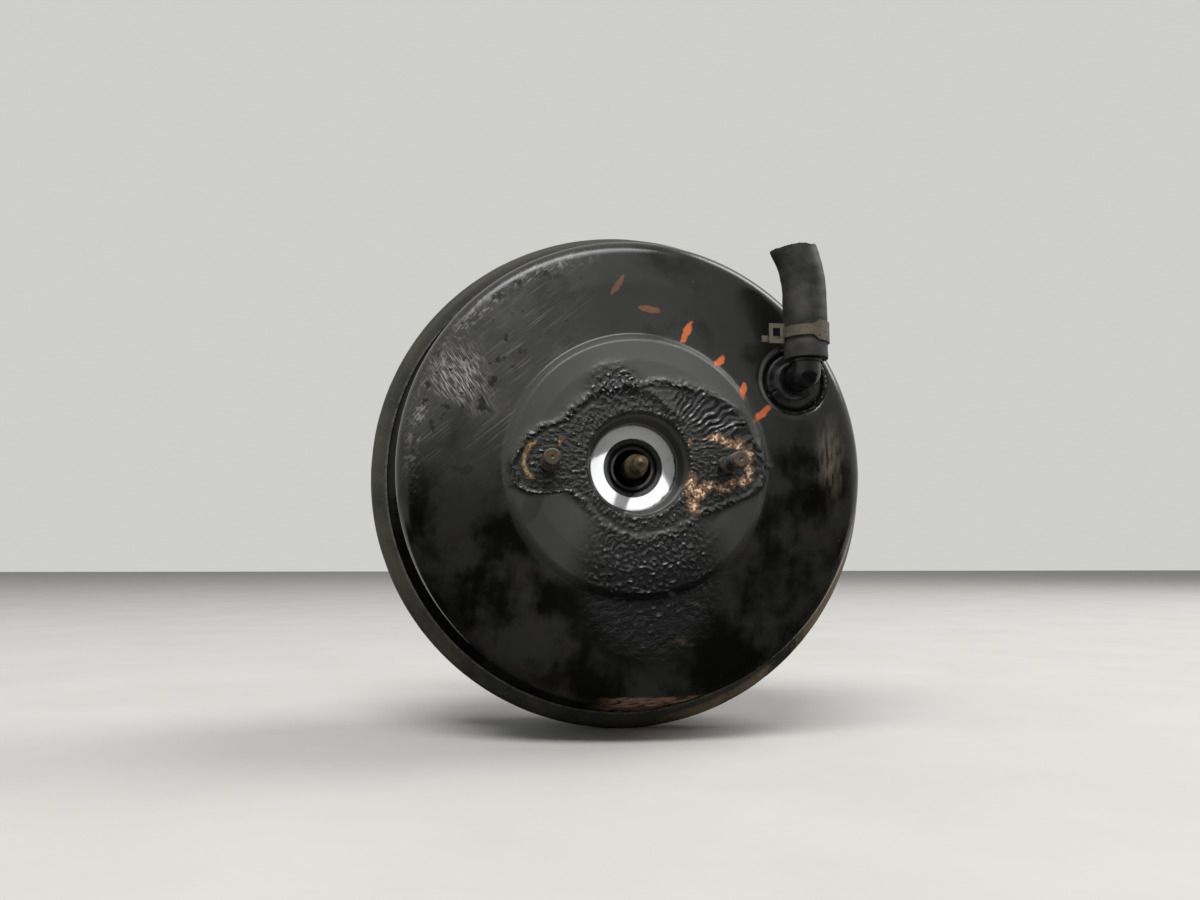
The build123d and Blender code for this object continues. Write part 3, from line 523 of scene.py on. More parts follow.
def streaks(place, turn, length, width, detail=5):
    """Noise drawn out into marks of that length and width, in millimetres, and turn in degrees."""
    sockets = {"Vector": place, "Rotation": (0, -math.radians(turn), 0),
               "Scale": (length / 1000, 1, width / 1000)}
    return speckle(place.node("Mapping", {"vector_type": "TEXTURE"}, sockets), 1.0, detail, 0.6)


def dab(place, middle_x, middle_z, half_long, half_wide, turn, ragged, core=0.75):
    """1 in a smear of that middle, half sizes and turn on the face, in millimetres and degrees."""
    sockets = {"Vector": place, "Location": (middle_x / 1000, 0, middle_z / 1000),
               "Rotation": (0, -math.radians(turn), 0),
               "Scale": (half_long / 1000, 100, half_wide / 1000)}
    laid = place.node("Mapping", {"vector_type": "TEXTURE"}, sockets)
    reach = laid.node("VectorMath", {"operation": "LENGTH"}, {0: laid}, output=1)
    return 1 - between(reach + ragged, core, 1.1)


clouds = speckle(place, 26, 5)
fine = speckle(place, 420, 4, 0.6)
grain = speckle(place, 1500, 3, 0.6)
plateau = 1 - between(radius, 0.061, 0.066)
shoulder = between(radius, 0.101, 0.106)
upper = between(z - 0.35 * x, -0.045, 0.05)
lower = between(0 - z, -0.02, 0.05)
smeared = between(0.88 * clouds + 0.12 * streaks(place, 82, 30, 5) + 0.09 * lower, 0.48, 0.64)
smeared = smeared * (1 - 0.75 * plateau)
# Towards the upper right the paint is made darker: painted shade for the dimmer reflection there.
right = between(x, 0.005, 0.055)
upper_paint_with_painted_shade = blended(right, (0.0200, 0.0197, 0.0188, 1), (0.0100, 0.0097, 0.0090, 1))
clean = blended(upper, (0.0200, 0.0195, 0.0170, 1), upper_paint_with_painted_shade)
black = blended(smeared, clean, (0.0026, 0.0025, 0.0019, 1))
# The plateau is made a paler grey, paler still at the top: a painted sheen on its flat face.
plateau_painted_sheen = blended(plateau * (0.62 + 0.10 * upper) * (1 - skin), black, (0.050, 0.050, 0.048, 1))
swollen = blended(skin, plateau_painted_sheen, (0.0045, 0.0045, 0.0042, 1))
# Rubbing left a fan of short bright dashes at the upper left, long faint lines beside the
# plateau, and a pale, patchy shoulder. The grey haze over the left is partly rubbed paint and
# partly a painted sheen.
left_wear_and_sheen = between(0 - x, 0.010, 0.050) * between(z, -0.025, 0.030) * (1 - plateau)
left_wear_and_sheen = left_wear_and_sheen * (1 - between(radius, 0.108, 0.113))
patchy = between(speckle(place, 60, 5), 0.40, 0.70)
haze_and_sheen = blended(left_wear_and_sheen * (0.42 + 0.30 * patchy), swollen, (0.060, 0.059, 0.057, 1))
fan = dab(place, -85, 42, 22, 15, -62, 2.4 * (clouds - 0.5), 0.1)
dashes = fan * between(streaks(place, -58, 5.5, 0.7), 0.43, 0.66)
lines = left_wear_and_sheen * between(streaks(place, 40, 26, 0.55), 0.55, 0.72) * 0.30
rubbed = between(0.5 * fine + 0.5 * streaks(place, 50, 7, 0.9), 0.49, 0.60)
rubbed = rubbed * shoulder * left_wear_and_sheen * (0.35 + 0.65 * patchy) * 0.85
marks = larger(dashes, larger(lines, rubbed))
scuffed = blended(marks, haze_and_sheen, (0.40, 0.385, 0.365, 1))
spotted = between(speckle(place, 170, 3), 0.60, 0.66) * left_wear_and_sheen * between(radius, 0.070, 0.078)
oiled = blended(spotted * 0.9, scuffed, (0.004, 0.004, 0.0035, 1))
# Grease pencil was wiped across the face: six plain dabs are left of it.
crayon = None
for middle_x, middle_z, half_long, turn in ((61.5, 25.5, 6.5, 42), (52.5, 37.0, 4.5, 74),
                                            (41.0, 51.5, 4.0, 40), (25.0, 66.0, 6.0, 66)):
    mark = dab(place, middle_x, middle_z, half_long, 1.8, turn, 1.5 * (fine - 0.5))
    crayon = larger(crayon, mark) if crayon else mark
orange = blended(crayon * (0.55 + 0.8 * grain), oiled, (0.40, 0.095, 0.027, 1))
faded = dab(place, 7, 77, 6.0, 1.8, -8, 1.1 * (fine - 0.5))
faded = larger(faded, dab(place, -9, 89, 6.5, 1.6, 58, 1.1 * (fine - 0.5)))
marked = blended(faded * 0.6, orange, (0.20, 0.085, 0.040, 1))
# A warm, streaky patch on the right shoulder is a painted highlight, and a pale arc on the
# pocket's lip is a painted highlight of its rounded edge.
painted_shoulder_highlight = dab(place, 97, 4, 27, 10, 86, 1.8 * (clouds - 0.5), 0.1)
painted_shoulder_highlight = painted_shoulder_highlight * between(streaks(place, 86, 12, 2.2), 0.34, 0.62)
# The pale arc painted on the pocket's lip is a painted highlight of its rounded edge.
across, rise = x - 0.0796, z - 0.0434
near = span(across, rise)
lip = band(near, 0.0160, 0.0170, 0.0178, 0.0192) * between(0 - across, 0.005, 0.014)
marked = blended(painted_shoulder_highlight * 0.9, marked, (0.150, 0.125, 0.098, 1))
marked = blended(lip * (0.4 + 0.5 * fine), marked, (0.16, 0.16, 0.165, 1))
aside = x - 0.013
foot = between(0 - z, 0.1085, 0.1100) * (1 - between(aside.math("ABSOLUTE", aside), 0.018, 0.034))
freckle = dab(place, 21, -83, 1.6, 3.0, 80, 3.0 * (grain - 0.5), 0.2)
freckle = larger(freckle, dab(place, 16, -61, 1.6, 2.4, 70, 3.0 * (grain - 0.5), 0.2))
rust = foot * between(streaks(place, 6, 7, 1.1), 0.38, 0.54)
rust = larger(rust, 0.35 * freckle)
rusty = blended(rust, marked, blended(grain, (0.045, 0.026, 0.014, 1), (0.24, 0.125, 0.065, 1)))
brown = blended(between(fine, 0.32, 0.58), (0.012, 0.0075, 0.005, 1), (0.115, 0.062, 0.030, 1))
flecks = between(0.55 * bare + 1.3 * (speckle(place, 700, 4) - 0.5), 0.42, 0.66)
tan = blended(between(x, -0.01, 0.01), (0.26, 0.185, 0.085, 1), (0.43, 0.325, 0.235, 1))
eaten = between(bare + 1.0 * (fine - 0.5), 0.36, 0.62)
worn = blended(eaten, rusty, blended(flecks, brown, tan))
gloss = 0.23 - 0.08 * smeared + 0.13 * plateau + 0.10 * left_wear_and_sheen * patchy + 0.10 * (fine - 0.5)
gloss = gloss + crayon * 0.3
rough = gloss + skin * (0.13 + 0.20 * fine - gloss)
rough = rough + larger(eaten, rust) * (0.85 - rough)
relief = skin * (fine + 0.8 * grain) + 0.03 * grain + 0.6 * eaten * fine
surface(worn, rough, normal=bumped(0.9, 0.0008, relief),
        others={"Specular IOR Level": 0.45, "Coat Roughness": 0.07,
                "Coat Weight": 0.8 * skin * (1 - eaten)})

# ---------------------------------------------------------------- master cylinder studs
# Two M8 studs, pressed through the plate and the face from inside. Their threads are rolled, dark
# with old fluid, and the ends are chamfered with a centre mark left by the lathe.


def cut_thread(piece, radius, core, pitch, depth, fade):
    """Cut a thread about Y outside a core radius, in millimetres, deeper as fade(y) nears 1."""
    for corner, x, y, z, reach, around in round_axis(piece):
        if reach > core and fade(y) > 0:
            wave = abs(((y / pitch + around / (2 * math.pi)) % 1) * 2 - 1)
            cut = depth * fade(y) * min(1.0, max(0.0, 1.15 - 1.25 * wave))
            pull(corner, min(1.0, (radius - cut) / reach))
    smooth(piece, 50)


def stud(bottom, top, collar, roundings, offset):
    """An M8 stud about Y, in millimetres, threaded from its bottom to its top."""
    way = 1 if top > bottom else -1
    radius, pitch, chamfer, dimple = 4.0, 1.25, 0.7, 0.9
    outline = [(0, bottom), (radius - 0.05, bottom), (radius - 0.05, top - way * chamfer),
               (radius - chamfer, top), (dimple, top), (0, top - way * dimple * 0.7)]
    shank = turned("shank", outline, [0, 0, 0, 0.15, 0.1], steps=40,
                   grain=lambda radius: pitch / 7000)
    cut_thread(shank, radius, radius - chamfer - 0.2, pitch, 0.62,
               lambda y: ease(way * (y - bottom), 0.6, 2.2))
    combine(shank, turned("collar", collar, roundings, steps=48), "UNION")
    return moved(shank, offset)


def joined(name, pieces):
    """Make several pieces one, under a name."""
    choose(*pieces)
    bpy.ops.object.join()
    bpy.context.object.name = name
    return bpy.context.object


collar = [(0, -114), (4.6, -114), (4.6, -109.7), (7, -109.7), (7, -105.75), (0, -105.75)]
studs = joined("master_cylinder_studs_threaded",
               [stud(-114.2, -140, collar, [0.1, 0.2, 0.5, 0.8], (side * stud_reach, 0, 0))
                for side in (-1, 1)])
place = coated("oily_stud_steel", studs)
soot = between(speckle(place, 260, 4), 0.40, 0.62)
fine = speckle(place, 1400, 3)
x, y, z = axes(place)
tip = between(0 - y, 0.1392, 0.1398)
dark = blended(fine, (0.035, 0.030, 0.026, 1), (0.11, 0.095, 0.078, 1))
ends = blended(fine, (0.055, 0.047, 0.038, 1), (0.16, 0.14, 0.115, 1))
rusting = blended(between(speckle(place, 500, 3), 0.5, 0.68), ends, (0.24, 0.11, 0.045, 1))
surface(blended(tip, blended(soot, dark, (0.012, 0.011, 0.010, 1)), rusting), 0.36 + 0.25 * fine,
        0.25 + tip * 0.5, bumped(0.4, 0.0002, fine))
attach(studs, "housing")
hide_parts("master_cylinder_studs")

# ---------------------------------------------------------------- front seal and zinc ring
# The master cylinder's spigot and the output rod both seal here. A moulded rubber seal sits in the
# drawn tube, and a bright zinc-plated ring stamped from sheet holds it. The ring's edge is nicked.
ring_outline = [(14.65, -95.3), (20.1, -95.3), (20.75, -95.3), (21.33, -94.9), (21.33, -93.72),
                (14.65, -93.72), (14.65, -95.3)]
zinc_ring = turned("seal_ring_zinc", ring_outline, [0, 0, 0, 0.1, 0], steps=360)
for corner, x, y, z, reach, around in round_axis(zinc_ring):
    if reach > 20.5 and y < -94:
        nick = ringed(around, 9, 2) + 0.8 * ringed(around, 26, 5)
        worse = 0.4 + 1.1 * ease(math.cos(around + 0.5), 0.2, 0.95)
        worse += 0.7 * ease(math.cos(around + 1.75), 0.7, 1)
        pull(corner, 1 - 0.55 * worse * max(0.0, nick) / reach)
smooth(zinc_ring, 24)
place = coated("brushed_bright_zinc", zinc_ring)
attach(zinc_ring, "housing")
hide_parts("seal_retainer")
stained = between(speckle(place, 75, 4), 0.5, 0.72)
lines = combed(place, (2600, 60, 240), 0.65)
pits = between(speckle(place, 1900, 2), 0.66, 0.74)
tint = blended(lines, (0.88, 0.885, 0.90, 1), (0.97, 0.975, 0.985, 1))
surface(blended(stained * 0.22 + pits * 0.3, tint, (0.30, 0.295, 0.30, 1)),
        0.30 + 0.12 * stained + 0.1 * lines, 0.3, bumped(0.12, 0.0002, lines))

seal_outline = [(21.25, -93.6), (13.9, -93.6), (13.5, -93.4), (12.5, -93.0), (11.9, -90.9),
                (11.2, -91.2), (10.75, -92.7), (9.6, -92.8), (9.2, -92.0), (9.5, -89.1),
                (12.0, -88.7), (20.3, -88.7), (21.25, -89.8), (21.25, -93.6)]
seal = turned("front_seal_ridged", seal_outline,
              [0.3, 0.2, 0.4, 0.5, 0.4, 0.3, 0.5, 0.3, 0.3, 0.4, 0.2, 0.2], steps=144)
smooth(seal, 40)
place = coated("seal_rubber_black", seal)
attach(seal, "housing")
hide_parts("front_seal")
x, y, z = axes(place)
radius = span(x, z)
greased = speckle(place, 300, 3)
# The seal is black down in its groove and grey on its faces: painted shade in the groove.
greyer = between(radius, 0.0120, 0.0126) + (1 - between(radius, 0.0104, 0.0108))
dull = blended(greyer * (0.6 + 0.4 * greased), (0.006, 0.006, 0.006, 1), (0.045, 0.044, 0.043, 1))
surface(dull, 0.34 + 0.2 * greased)

# ---------------------------------------------------------------- vacuum hose
# A cut-off stub of fabric-reinforced rubber hose, pushed over the elbow's nipple. The knife went
# through it crooked, and left a torn lip. It stands by itself, being stiff and short.
straight, bend_radius, bend_turn = 0.031, 0.06, math.radians(16)
hose_foot = Vector((valve_x / 1000, -0.124, valve_z / 1000 + 0.0067))
hose = turned("hose_stub", [(10.4, 0), (10.4, 55.25)], [], wall=4.4, steps=96,
              grain=lambda radius: 0.0007)
for corner in hose.data.vertices:
    side, along, out = corner.co
    turn = min(max((along - straight) / bend_radius, 0.0), bend_turn)
    rest = max(0.0, along - straight - bend_radius * bend_turn)
    centre_x = -bend_radius * (1 - math.cos(turn)) - rest * math.sin(turn)
    centre_z = min(along, straight) + bend_radius * math.sin(turn) + rest * math.cos(turn)
    radius = math.hypot(side, out)
    around = math.atan2(out, side)
    swell = 0.00018 * ringed(around, 1.3, along * 90)
    wrap = 0.00004 * math.sin(2 * math.pi * (along / 0.0062 + around / (2 * math.pi)))
    grip = 0.0005 * math.exp(-((along - 0.0123) / 0.0042) ** 2)
    end = ease(along, 0.046, 0.0552)
    ragged = (0.0002 * math.cos(around - 0.3) + 0.0006 * lump(around * 2.2, 4, 1)
              + 0.00035 * lump(around * 9, 2, radius * 700))
    lip = math.exp(-((abs(around) - math.pi) / 0.42) ** 2) if abs(around) > 1.2 else 0.0
    spread = 1 + (swell + wrap - grip) / 0.0104 * (radius > 0.0095) + 0.17 * end * lip
    side, out = side * spread, out * spread
    lift = end * (ragged - 0.0008 - 0.0004 * lip - 0.22 * side)
    to_x = centre_x + side * math.cos(turn) - lift * math.sin(turn)
    to_z = centre_z + side * math.sin(turn) + lift * math.cos(turn)
    corner.co = hose_foot + Vector((to_x, -out, to_z))
smooth(hose, 50)
place = coated("hose_rubber_black", hose)
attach(hose, "housing")
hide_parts("vacuum_hose")
bloom = between(speckle(place, 110, 4), 0.35, 0.7)
weave = speckle(place, 900, 3, 0.6)
rubbed = blended(bloom, (0.010, 0.0098, 0.0095, 1), (0.036, 0.0345, 0.0325, 1))
dusty = between(weave, 0.6, 0.75) * 0.3
surface(blended(dusty, rubbed, (0.09, 0.085, 0.075, 1)), 0.5 + 0.2 * weave,
        normal=bumped(0.35, 0.0003, weave + 0.6 * bloom))

# ---------------------------------------------------------------- check valve
# A black moulded valve with a right-angled outlet, pushed through a rubber grommet in the shell's
# pocket. The grommet has hardened, and is split at its edge.
grommet = turned("check_valve_grommet_moulded",
                 [(6.45, -107.45), (8.9, -107.45), (9.2, -105.7), (10.2, -105.4), (13, -105.6),
                  (13.7, -104.9), (13.7, -103.05), (9.45, -103.05), (9.45, -101.35),
                  (11.5, -101.35), (11.5, -100.15), (9.1, -97.95), (6.45, -97.95),
                  (6.45, -107.45)],
                 [0.7, 0.3, 0.8, 0.5, 0.5, 0.2, 0.1, 0.1, 0.3, 0.4, 0.3, 0.2], steps=180,
                 grain=lambda radius: 0.0006)
for corner, x, y, z, reach, around in round_axis(grommet):
    off_split = abs(math.degrees(around) % 360 - 209 - 2 * math.sin(reach))
    split = (1 - ease(off_split, 0.5, 3.2)) * ease(reach, 9.6, 10.4)
    corner.co.y += 0.0013 * split * (y < -104.3)
    corner.co.y -= 0.0002 * (y < -103.5) * lump(x / 3, z / 3, 2)
smooth(grommet, 40)
moved(grommet, valve_place)
place = coated("hardened_grommet_rubber", grommet)
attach(grommet, "housing")
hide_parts("check_valve_grommet")
x, y, z = axes(place)
radius = span(x - valve_x / 1000, z - valve_z / 1000)
# A pale line round the collar's step, patchy with the dry rubber, is a painted highlight.
step_edge_highlight = band(radius, 0.0086, 0.0089, 0.0091, 0.0095)
dry = between(speckle(place, 180, 4), 0.40, 0.68)
pores = speckle(place, 1500, 3)
grey = blended(dry, (0.010, 0.010, 0.010, 1), (0.030, 0.030, 0.029, 1))
surface(blended(step_edge_highlight * (0.4 + dry) * 0.5, grey, (0.12, 0.118, 0.11, 1)), 0.34 + 0.25 * dry,
        normal=bumped(0.3, 0.0002, pores))

place = coated("moulded_valve_plastic", "check_valve_body", "check_valve_elbow")
handled = between(speckle(place, 130, 4), 0.42, 0.66)
surface(blended(handled, (0.0045, 0.0045, 0.0045, 1), (0.012, 0.012, 0.012, 1)),
        0.20 + 0.22 * handled)

# ---------------------------------------------------------------- hose clamp
# A constant-tension clamp bent from spring strip: a narrow strap passes through the window of the
# forked ear. Its olive dip has weathered to tan and pitted along the band.
place = coated("weathered_olive_dip", "hose_clamp")
x, y, z = axes(place)
right = 0.25 + 0.75 * between(x, 0.0790, 0.0830)
pitted = between(speckle(place, 850, 4, 0.65), 0.52, 0.62) * right
weathered = speckle(place, 240, 4)
olive = blended(weathered, (0.045, 0.038, 0.025, 1), (0.150, 0.132, 0.092, 1))
surface(blended(pitted * 0.85, olive, (0.022, 0.018, 0.014, 1)), 0.42 + 0.25 * weathered, 0.25,
        bumped(0.4, 0.0002, weathered - pitted))

# ---------------------------------------------------------------- rear shell
# The second pressing of 1.6 mm steel, with the dished pad that bolts to the bulkhead and the neck
# that guides the valve body. Its rim is rolled over the front shell's flange and the diaphragm's
# bead, which leaves a slightly wavy lip. Its edges carry pale lines, painted highlights.
rear_outline = [(123, -59), (131.7, -59), (131.7, -48.05), (121.5, -48.05), (121.5, -22),
                (100, -8), (66, -4), (58, 0), (24.8, 0), (24.8, 16)]
rear_roundings = [5.2, 2.4, 2.4, 10, 12, 5, 5, 2.6]
rear_shell = turned("rear_shell_rolled", rear_outline, rear_roundings, wall=1.6, steps=256,
                    grain=lambda radius: 0.0015 if radius > 121 else 0.006)
for corner, x, y, z, reach, around in round_axis(rear_shell):
    rolled = ease(reach, 121, 124) * (1 - ease(y, -52, -48))
    wave = ringed(around, 7, 1) + 0.6 * ringed(around, 22, 4)
    corner.co.y += 0.00022 * rolled * wave
    pull(corner, 1 - 0.12 * rolled * max(0.0, wave) / reach)
bulkhead_places = [(side * 0.04, 0, height * 0.03) for side in (-1, 1) for height in (-1, 1)]
for spot in bulkhead_places:
    combine(rear_shell, moved(disc(stud_hole_radius, -8, 4), spot), "DIFFERENCE")
smooth(rear_shell, 40)
place = coated("olive_black_paint_with_lip_highlights", rear_shell)
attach(rear_shell, "housing")
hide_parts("rear_shell")
x, y, z = axes(place)
radius = span(x, z)
clouds = speckle(place, 30, 5)
fine = speckle(place, 700, 3)
dusty = between(clouds + 0.3 * fine, 0.42, 0.80)
rim = between(radius, 0.1222, 0.1236)
paint = blended(dusty, (0.009, 0.009, 0.0085, 1), (0.022, 0.021, 0.019, 1))
olive = blended(dusty, (0.022, 0.0215, 0.016, 1), (0.060, 0.058, 0.046, 1))
# Pale patchy lines along the edges of the rolled lip: painted highlights.
lip_highlights = band(radius, 0.1226, 0.1230, 0.1236, 0.1242) * between(0 - y, 0.0575, 0.0580)
lip_highlights = larger(lip_highlights, between(radius, 0.1313, 0.1316) * between(0 - y, 0.0520, 0.0530))
lip_highlights = lip_highlights * between(fine + 0.6 * clouds, 0.55, 0.95)
edges = blended(lip_highlights, blended(rim, paint, olive), (0.115, 0.110, 0.096, 1))
low_right = between(x - z, 0.135, 0.165) * between(radius, 0.1255, 0.1275)
low_right = low_right * between(0 - y, 0.0560, 0.0575)
tan = blended(low_right * between(clouds + 0.4 * fine, 0.50, 0.78), edges, (0.17, 0.125, 0.075, 1))
splash = between(speckle(place, 120, 4), 0.60, 0.74) * between(y, -0.03, -0.01)
rusty = blended(splash * 0.6, tan, (0.075, 0.045, 0.026, 1))
surface(rusty, 0.38 + 0.22 * dusty + 0.12 * rim, normal=bumped(0.35, 0.0003, fine),
        others={"Specular IOR Level": 0.4})

# ---------------------------------------------------------------- bulkhead studs
# Four M8 studs with round heads, pressed through the rear plate and shell. The bulkhead's nuts
# pull the booster up by them.
collar = [(0, -8.65), (7, -8.65), (7, -4.75), (4.6, -4.75), (4.6, -0.05), (0, -0.05)]
bulkhead_studs = joined("bulkhead_studs_threaded",
                        [stud(-0.4, 28, collar, [0.8, 0.5, 0.2, 0.1], spot)
                         for spot in bulkhead_places])
place = coated("dull_zinc_steel", bulkhead_studs)
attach(bulkhead_studs, "housing")
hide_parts("firewall_studs")
grimy = between(speckle(place, 110, 5), 0.34, 0.70)
fine = speckle(place, 1500, 3)
bright = blended(fine, (0.18, 0.17, 0.15, 1), (0.30, 0.285, 0.255, 1))
surface(blended(grimy, bright, (0.105, 0.088, 0.066, 1)), 0.34 + 0.3 * grimy + 0.1 * fine, 0.9,
        bumped(0.3, 0.0002, fine))

# ---------------------------------------------------------------- plates inside
# Stamped steel parts that nobody sees once the rim is rolled: the two plates behind the studs,
# the diaphragm's plate and the small retainers. They keep the press shop's oil and tool marks.
place = coated("oiled_press_steel", "front_reinforcement", "rear_reinforcement", "diaphragm_plate",
               "plate_retainer", "rod_retainer", "stop_key", "poppet_retainer")
drawn = combed(place, (900, 90, 90))
oily = between(speckle(place, 45, 4), 0.40, 0.66)
brushed = blended(drawn, (0.32, 0.32, 0.315, 1), (0.50, 0.50, 0.49, 1))
surface(blended(oily, brushed, (0.20, 0.19, 0.165, 1)), 0.30 + 0.2 * drawn + 0.1 * oily, 0.95)

# ---------------------------------------------------------------- diaphragm
# A moulded rubber skin with fabric in it. Its thick bead is clamped in the rolled rim, and it
# rolls off the wall onto its plate as the piston goes forward.
skin_outline = [(31.4, -11), (27.05, -11), (27.05, -13.95), (76, -13.95), (86, -21.95),
                (107.75, -21.95), (107.75, -53.7), (121.6, -53.7), (121.6, -55.65),
                (129.4, -55.65), (129.4, -49.75), (121.6, -49.75), (121.6, -51.7),
                (109.75, -51.7), (109.75, -19.95), (86.6, -19.95), (76.6, -11.95),
                (31.4, -11.95), (31.4, -11)]
skin_roundings = [0.4, 0.2, 4, 4, 5, 3, 0.2, 1.5, 1.5, 0.6, 0.4, 1, 7, 6, 2, 0.4, 0.2]
diaphragm = turned("diaphragm_rolling", skin_outline, skin_roundings, steps=160,
                   grain=lambda radius: 0.003)
smooth(diaphragm, 40)
place = coated("diaphragm_rubber", diaphragm)
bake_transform(diaphragm)
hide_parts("diaphragm")
woven = speckle(place, 1600, 2)
chalky = between(speckle(place, 55, 4), 0.42, 0.70)
surface(blended(chalky, (0.016, 0.016, 0.016, 1), (0.050, 0.049, 0.047, 1)), 0.55 + 0.2 * woven,
        normal=bumped(0.2, 0.0002, woven))

# ---------------------------------------------------------------- valve body
# The hub, spigot and neck are one moulding of dark phenolic resin with glass and mineral filler.
# The neck slides in a white nylon bearing behind a lip seal.
place = coated("filled_phenolic", "valve_body")
filler = between(speckle(place, 2200, 2), 0.62, 0.72)
swirl = speckle(place, 60, 5)
resin = blended(swirl, (0.035, 0.024, 0.017, 1), (0.075, 0.052, 0.036, 1))
surface(blended(filler * 0.5, resin, (0.20, 0.16, 0.12, 1)), 0.38 + 0.15 * swirl)
place = coated("bearing_nylon", "rear_bearing")
worn = speckle(place, 200, 3)
surface(blended(worn, (0.60, 0.58, 0.50, 1), (0.76, 0.745, 0.69, 1)), 0.42 + 0.12 * worn)

# ---------------------------------------------------------------- rubber inside the valve
# The poppet that closes both valve seats, the reaction disc behind the output rod, the lip seal
# on the neck and the check valve's disc are cured in polished moulds, and stay greased.
place = coated("greased_rubber", "poppet", "reaction_disc", "rear_seal", "check_valve_disc")
film = between(speckle(place, 150, 4), 0.40, 0.68)
surface(blended(film, (0.010, 0.010, 0.010, 1), (0.038, 0.036, 0.033, 1)), 0.30 + 0.25 * film)

# ---------------------------------------------------------------- springs
# The return spring pushes the power piston back from the front plate. Small ones push back the
# rod and close the check valve. All are coiled from oil-tempered wire.


def coiled(name, radius, wire, start, end, turns):
    """A spring of round wire about Y between two seats, in millimetres."""
    bpy.ops.object.select_all(action="DESELECT")
    bpy.ops.mesh.primitive_circle_add(vertices=16, radius=wire / 1000,
                                      location=(radius / 1000, (start + wire) / 1000, 0))
    spring = bpy.context.object
    spring.name = name
    bpy.ops.object.transform_apply(location=True, rotation=True, scale=True)
    coil = spring.modifiers.new("coil", "SCREW")
    coil.axis = "Y"
    coil.angle = 2 * math.pi * turns
    coil.screw_offset = (end - start - 2 * wire) / 1000
    coil.steps = coil.render_steps = int(64 * turns)
    coil.use_merge_vertices = False
    bpy.ops.object.modifier_apply(modifier="coil")
    bpy.ops.object.mode_set(mode="EDIT")
    bpy.ops.mesh.select_all(action="SELECT")
    bpy.ops.mesh.remove_doubles(threshold=1e-6)
    bpy.ops.mesh.select_all(action="DESELECT")
    bpy.ops.mesh.select_non_manifold(extend=False, use_wire=False, use_multi_face=False,
                                     use_non_contiguous=False, use_verts=False)
    bpy.ops.mesh.edge_face_add()
    bpy.ops.mesh.select_all(action="SELECT")
    bpy.ops.mesh.normals_make_consistent(inside=False)
    bpy.ops.object.mode_set(mode="OBJECT")
    smooth(spring, 60)
    return spring


return_spring = coiled("return_spring_coil", 29.2, 2.0, -109.7, -53.2, 5)
rod_spring = coiled("input_rod_spring_coil", 11.0, 0.9, 23.2, 35.95, 3.5)
valve_spring = coiled("check_valve_spring_coil", 3.6, 0.35, -110.95, -97.65, 4)
moved(valve_spring, valve_place)
place = coated("oil_tempered_wire", return_spring, rod_spring, valve_spring, "poppet_spring")
scaled = speckle(place, 500, 4)
surface(blended(scaled, (0.06, 0.055, 0.05, 1), (0.24, 0.235, 0.23, 1)), 0.34 + 0.2 * scaled, 0.8)
for spring, node, body, joint, seat, keep in (
        (return_spring, "return_spring", "housing", "piston_stroke", -0.1097, 0.46),
        (rod_spring, "input_rod_spring", "power_piston", "valve_play", 0.0232, 0.88),
        (valve_spring, "check_valve_spring", "housing", "check_valve_lift", -0.11095, 0.88)):
    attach(spring, body)
    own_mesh(spring)
    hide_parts(node)

# ---------------------------------------------------------------- push rods
# The plunger and the output rod are turned and cold-headed bar, dark with grease. The pedal's push
# rod has a rolled M10 thread at its rear end.
ball = [(5 * math.sin(math.radians(turn)), 0.5 - 5 * math.cos(math.radians(turn)))
        for turn in range(0, 138, 8)]
rod_outline = ball + [(3.4, 10), (5, 14), (5, 36), (12.6, 36), (12.6, 37.5), (5, 37.5),
                      (5, 93), (5, 120), (4, 121), (0, 121)]
rod_roundings = [0] * (len(ball) - 1) + [0.8, 1.5, 0.4, 0.4, 0.3, 0.6, 0, 0.2, 0.2]
push_rod = turned("push_rod_threaded", rod_outline, rod_roundings, steps=64,
                  grain=lambda radius: 0.00025 if radius > 3.9 else 0.004)
cut_thread(push_rod, 5.0, 3.9, 1.5, 0.75, lambda y: ease(y, 92.5, 95))
place = coated("greasy_dark_rod", push_rod, "plunger", "output_rod", "output_rod_tip")
greasy = speckle(place, 220, 4)
fine = speckle(place, 1300, 2)
surface(blended(greasy, (0.030, 0.022, 0.012, 1), (0.15, 0.115, 0.065, 1)), 0.30 + 0.25 * fine,
        0.75)
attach(push_rod, "input_rod")
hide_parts("input_rod")

# ---------------------------------------------------------------- air filter
# Two felt rings round the push rod, one fine and one coarse, quieten and clean the air that the
# valve lets in.
place = coated("grey_felt", "silencer", "air_filter")
fibres = combed(place, (1500, 500, 1500), 0.7)
surface(blended(fibres, (0.09, 0.088, 0.082, 1), (0.36, 0.35, 0.33, 1)), 0.85 + 0.1 * fibres,
        normal=bumped(0.6, 0.0005, fibres))
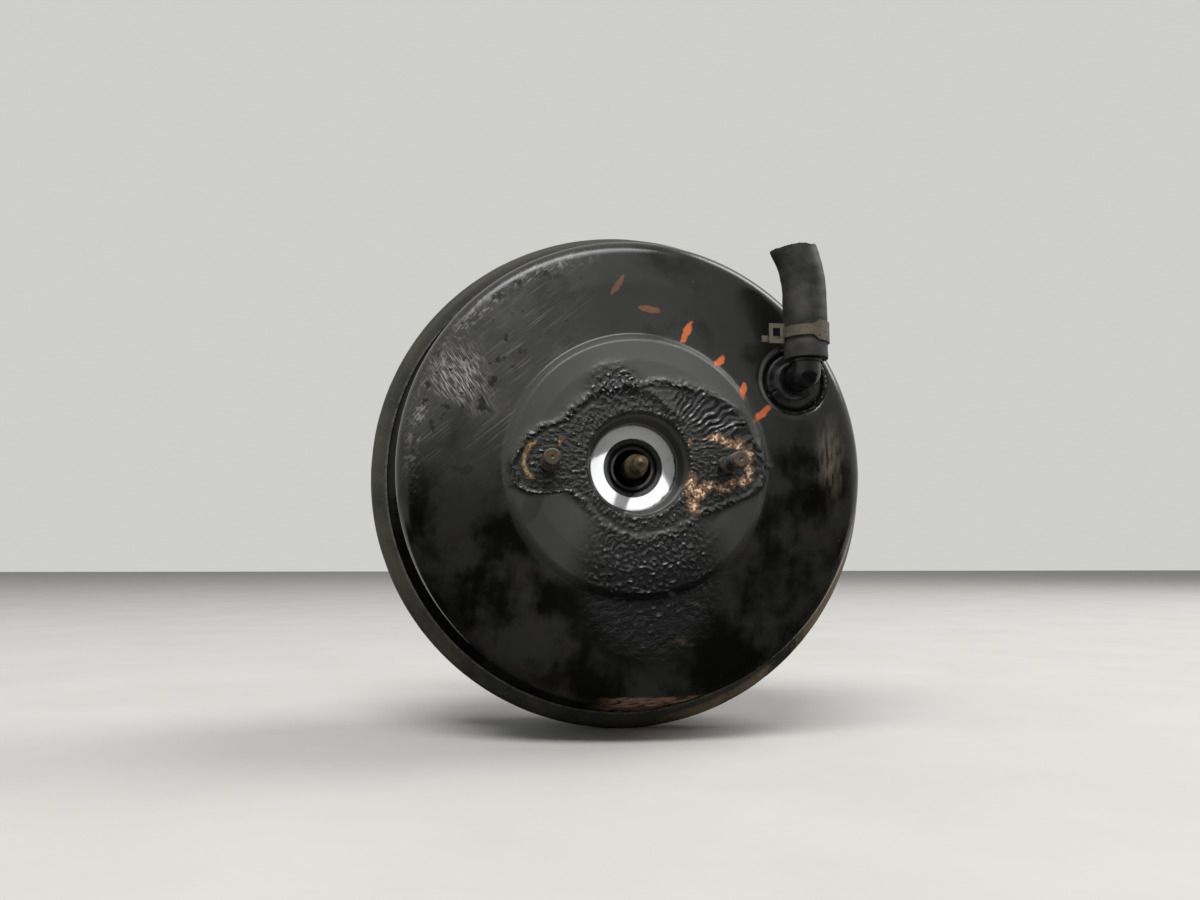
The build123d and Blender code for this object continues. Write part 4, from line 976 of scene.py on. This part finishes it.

# ---------------------------------------------------------------- dust boot
# Moulded rubber bellows between the neck and the push rod. The end fold and cuff go with the
# rod as it swings.
cuff_line = [(24.85, 5), (24.85, 17)]
for fold in range(3):
    cuff_line += [(30 - fold, 21.75 + 9.5 * fold), (24.5 - 0.8 * fold, 26.5 + 9.5 * fold)]
bellows = turned("dust_boot_bellows", cuff_line + [(22.7, 49.5)], [2] + [2.2] * 6, wall=-1.5,
                 steps=128, grain=lambda radius: 0.0015)
end_line = [(25.3, 47.4), (27, 50.25), (22.1, 55), (5.3, 68), (5.3, 74)]
boot_end = turned("dust_boot_end", end_line, [2.2, 2.2, 3], wall=-1.5, steps=128,
                  grain=lambda radius: 0.0015)
place = coated("boot_rubber_black", bellows, boot_end)
for piece in (bellows, boot_end):
    for corner, x, y, z, reach, around in round_axis(piece):
        bead = 0.9 * (reach > 25.6) * (1 - ease(y, 8, 9))
        bead += 0.7 * (reach > 6.3) * ease(y, 71.3, 72)
        sag = 0.22 * ringed(around, 2, y / 9) * ease(y, 16, 20) * (1 - ease(y, 66, 70))
        pull(corner, 1 + (bead + sag) / reach)
    smooth(piece, 45)
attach(bellows, "housing")
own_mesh(bellows)
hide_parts("dust_boot")
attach(boot_end, "input_rod")
powdery = between(speckle(place, 85, 5), 0.42, 0.70)
pores = speckle(place, 1400, 3)
surface(blended(powdery, (0.013, 0.013, 0.0125, 1), (0.046, 0.044, 0.041, 1)),
        0.52 + 0.2 * powdery, normal=bumped(0.25, 0.0002, pores))

# ---------------------------------------------------------------- clevis and lock nut
# The forged clevis takes the brake pedal's pin, and the lock nut fixes its place on the thread.
# Both have yellow zinc plating, rainbowed where the dip was thick.
place = coated("yellow_zinc", "clevis", "lock_nut")
drift = speckle(place, 70, 4)
fine = speckle(place, 1100, 3)
stops = ((0.30, (0.46, 0.34, 0.15, 1)), (0.50, (0.60, 0.50, 0.26, 1)),
         (0.62, (0.52, 0.46, 0.33, 1)), (0.74, (0.60, 0.42, 0.24, 1)))
hues = drift.node("ValToRGB", {"stops": stops}, {"Fac": drift})
dirty = between(speckle(place, 260, 4), 0.52, 0.72)
surface(blended(dirty * 0.7, hues, (0.12, 0.09, 0.055, 1)), 0.30 + 0.15 * fine + 0.25 * dirty, 0.9,
        bumped(0.2, 0.0002, fine))
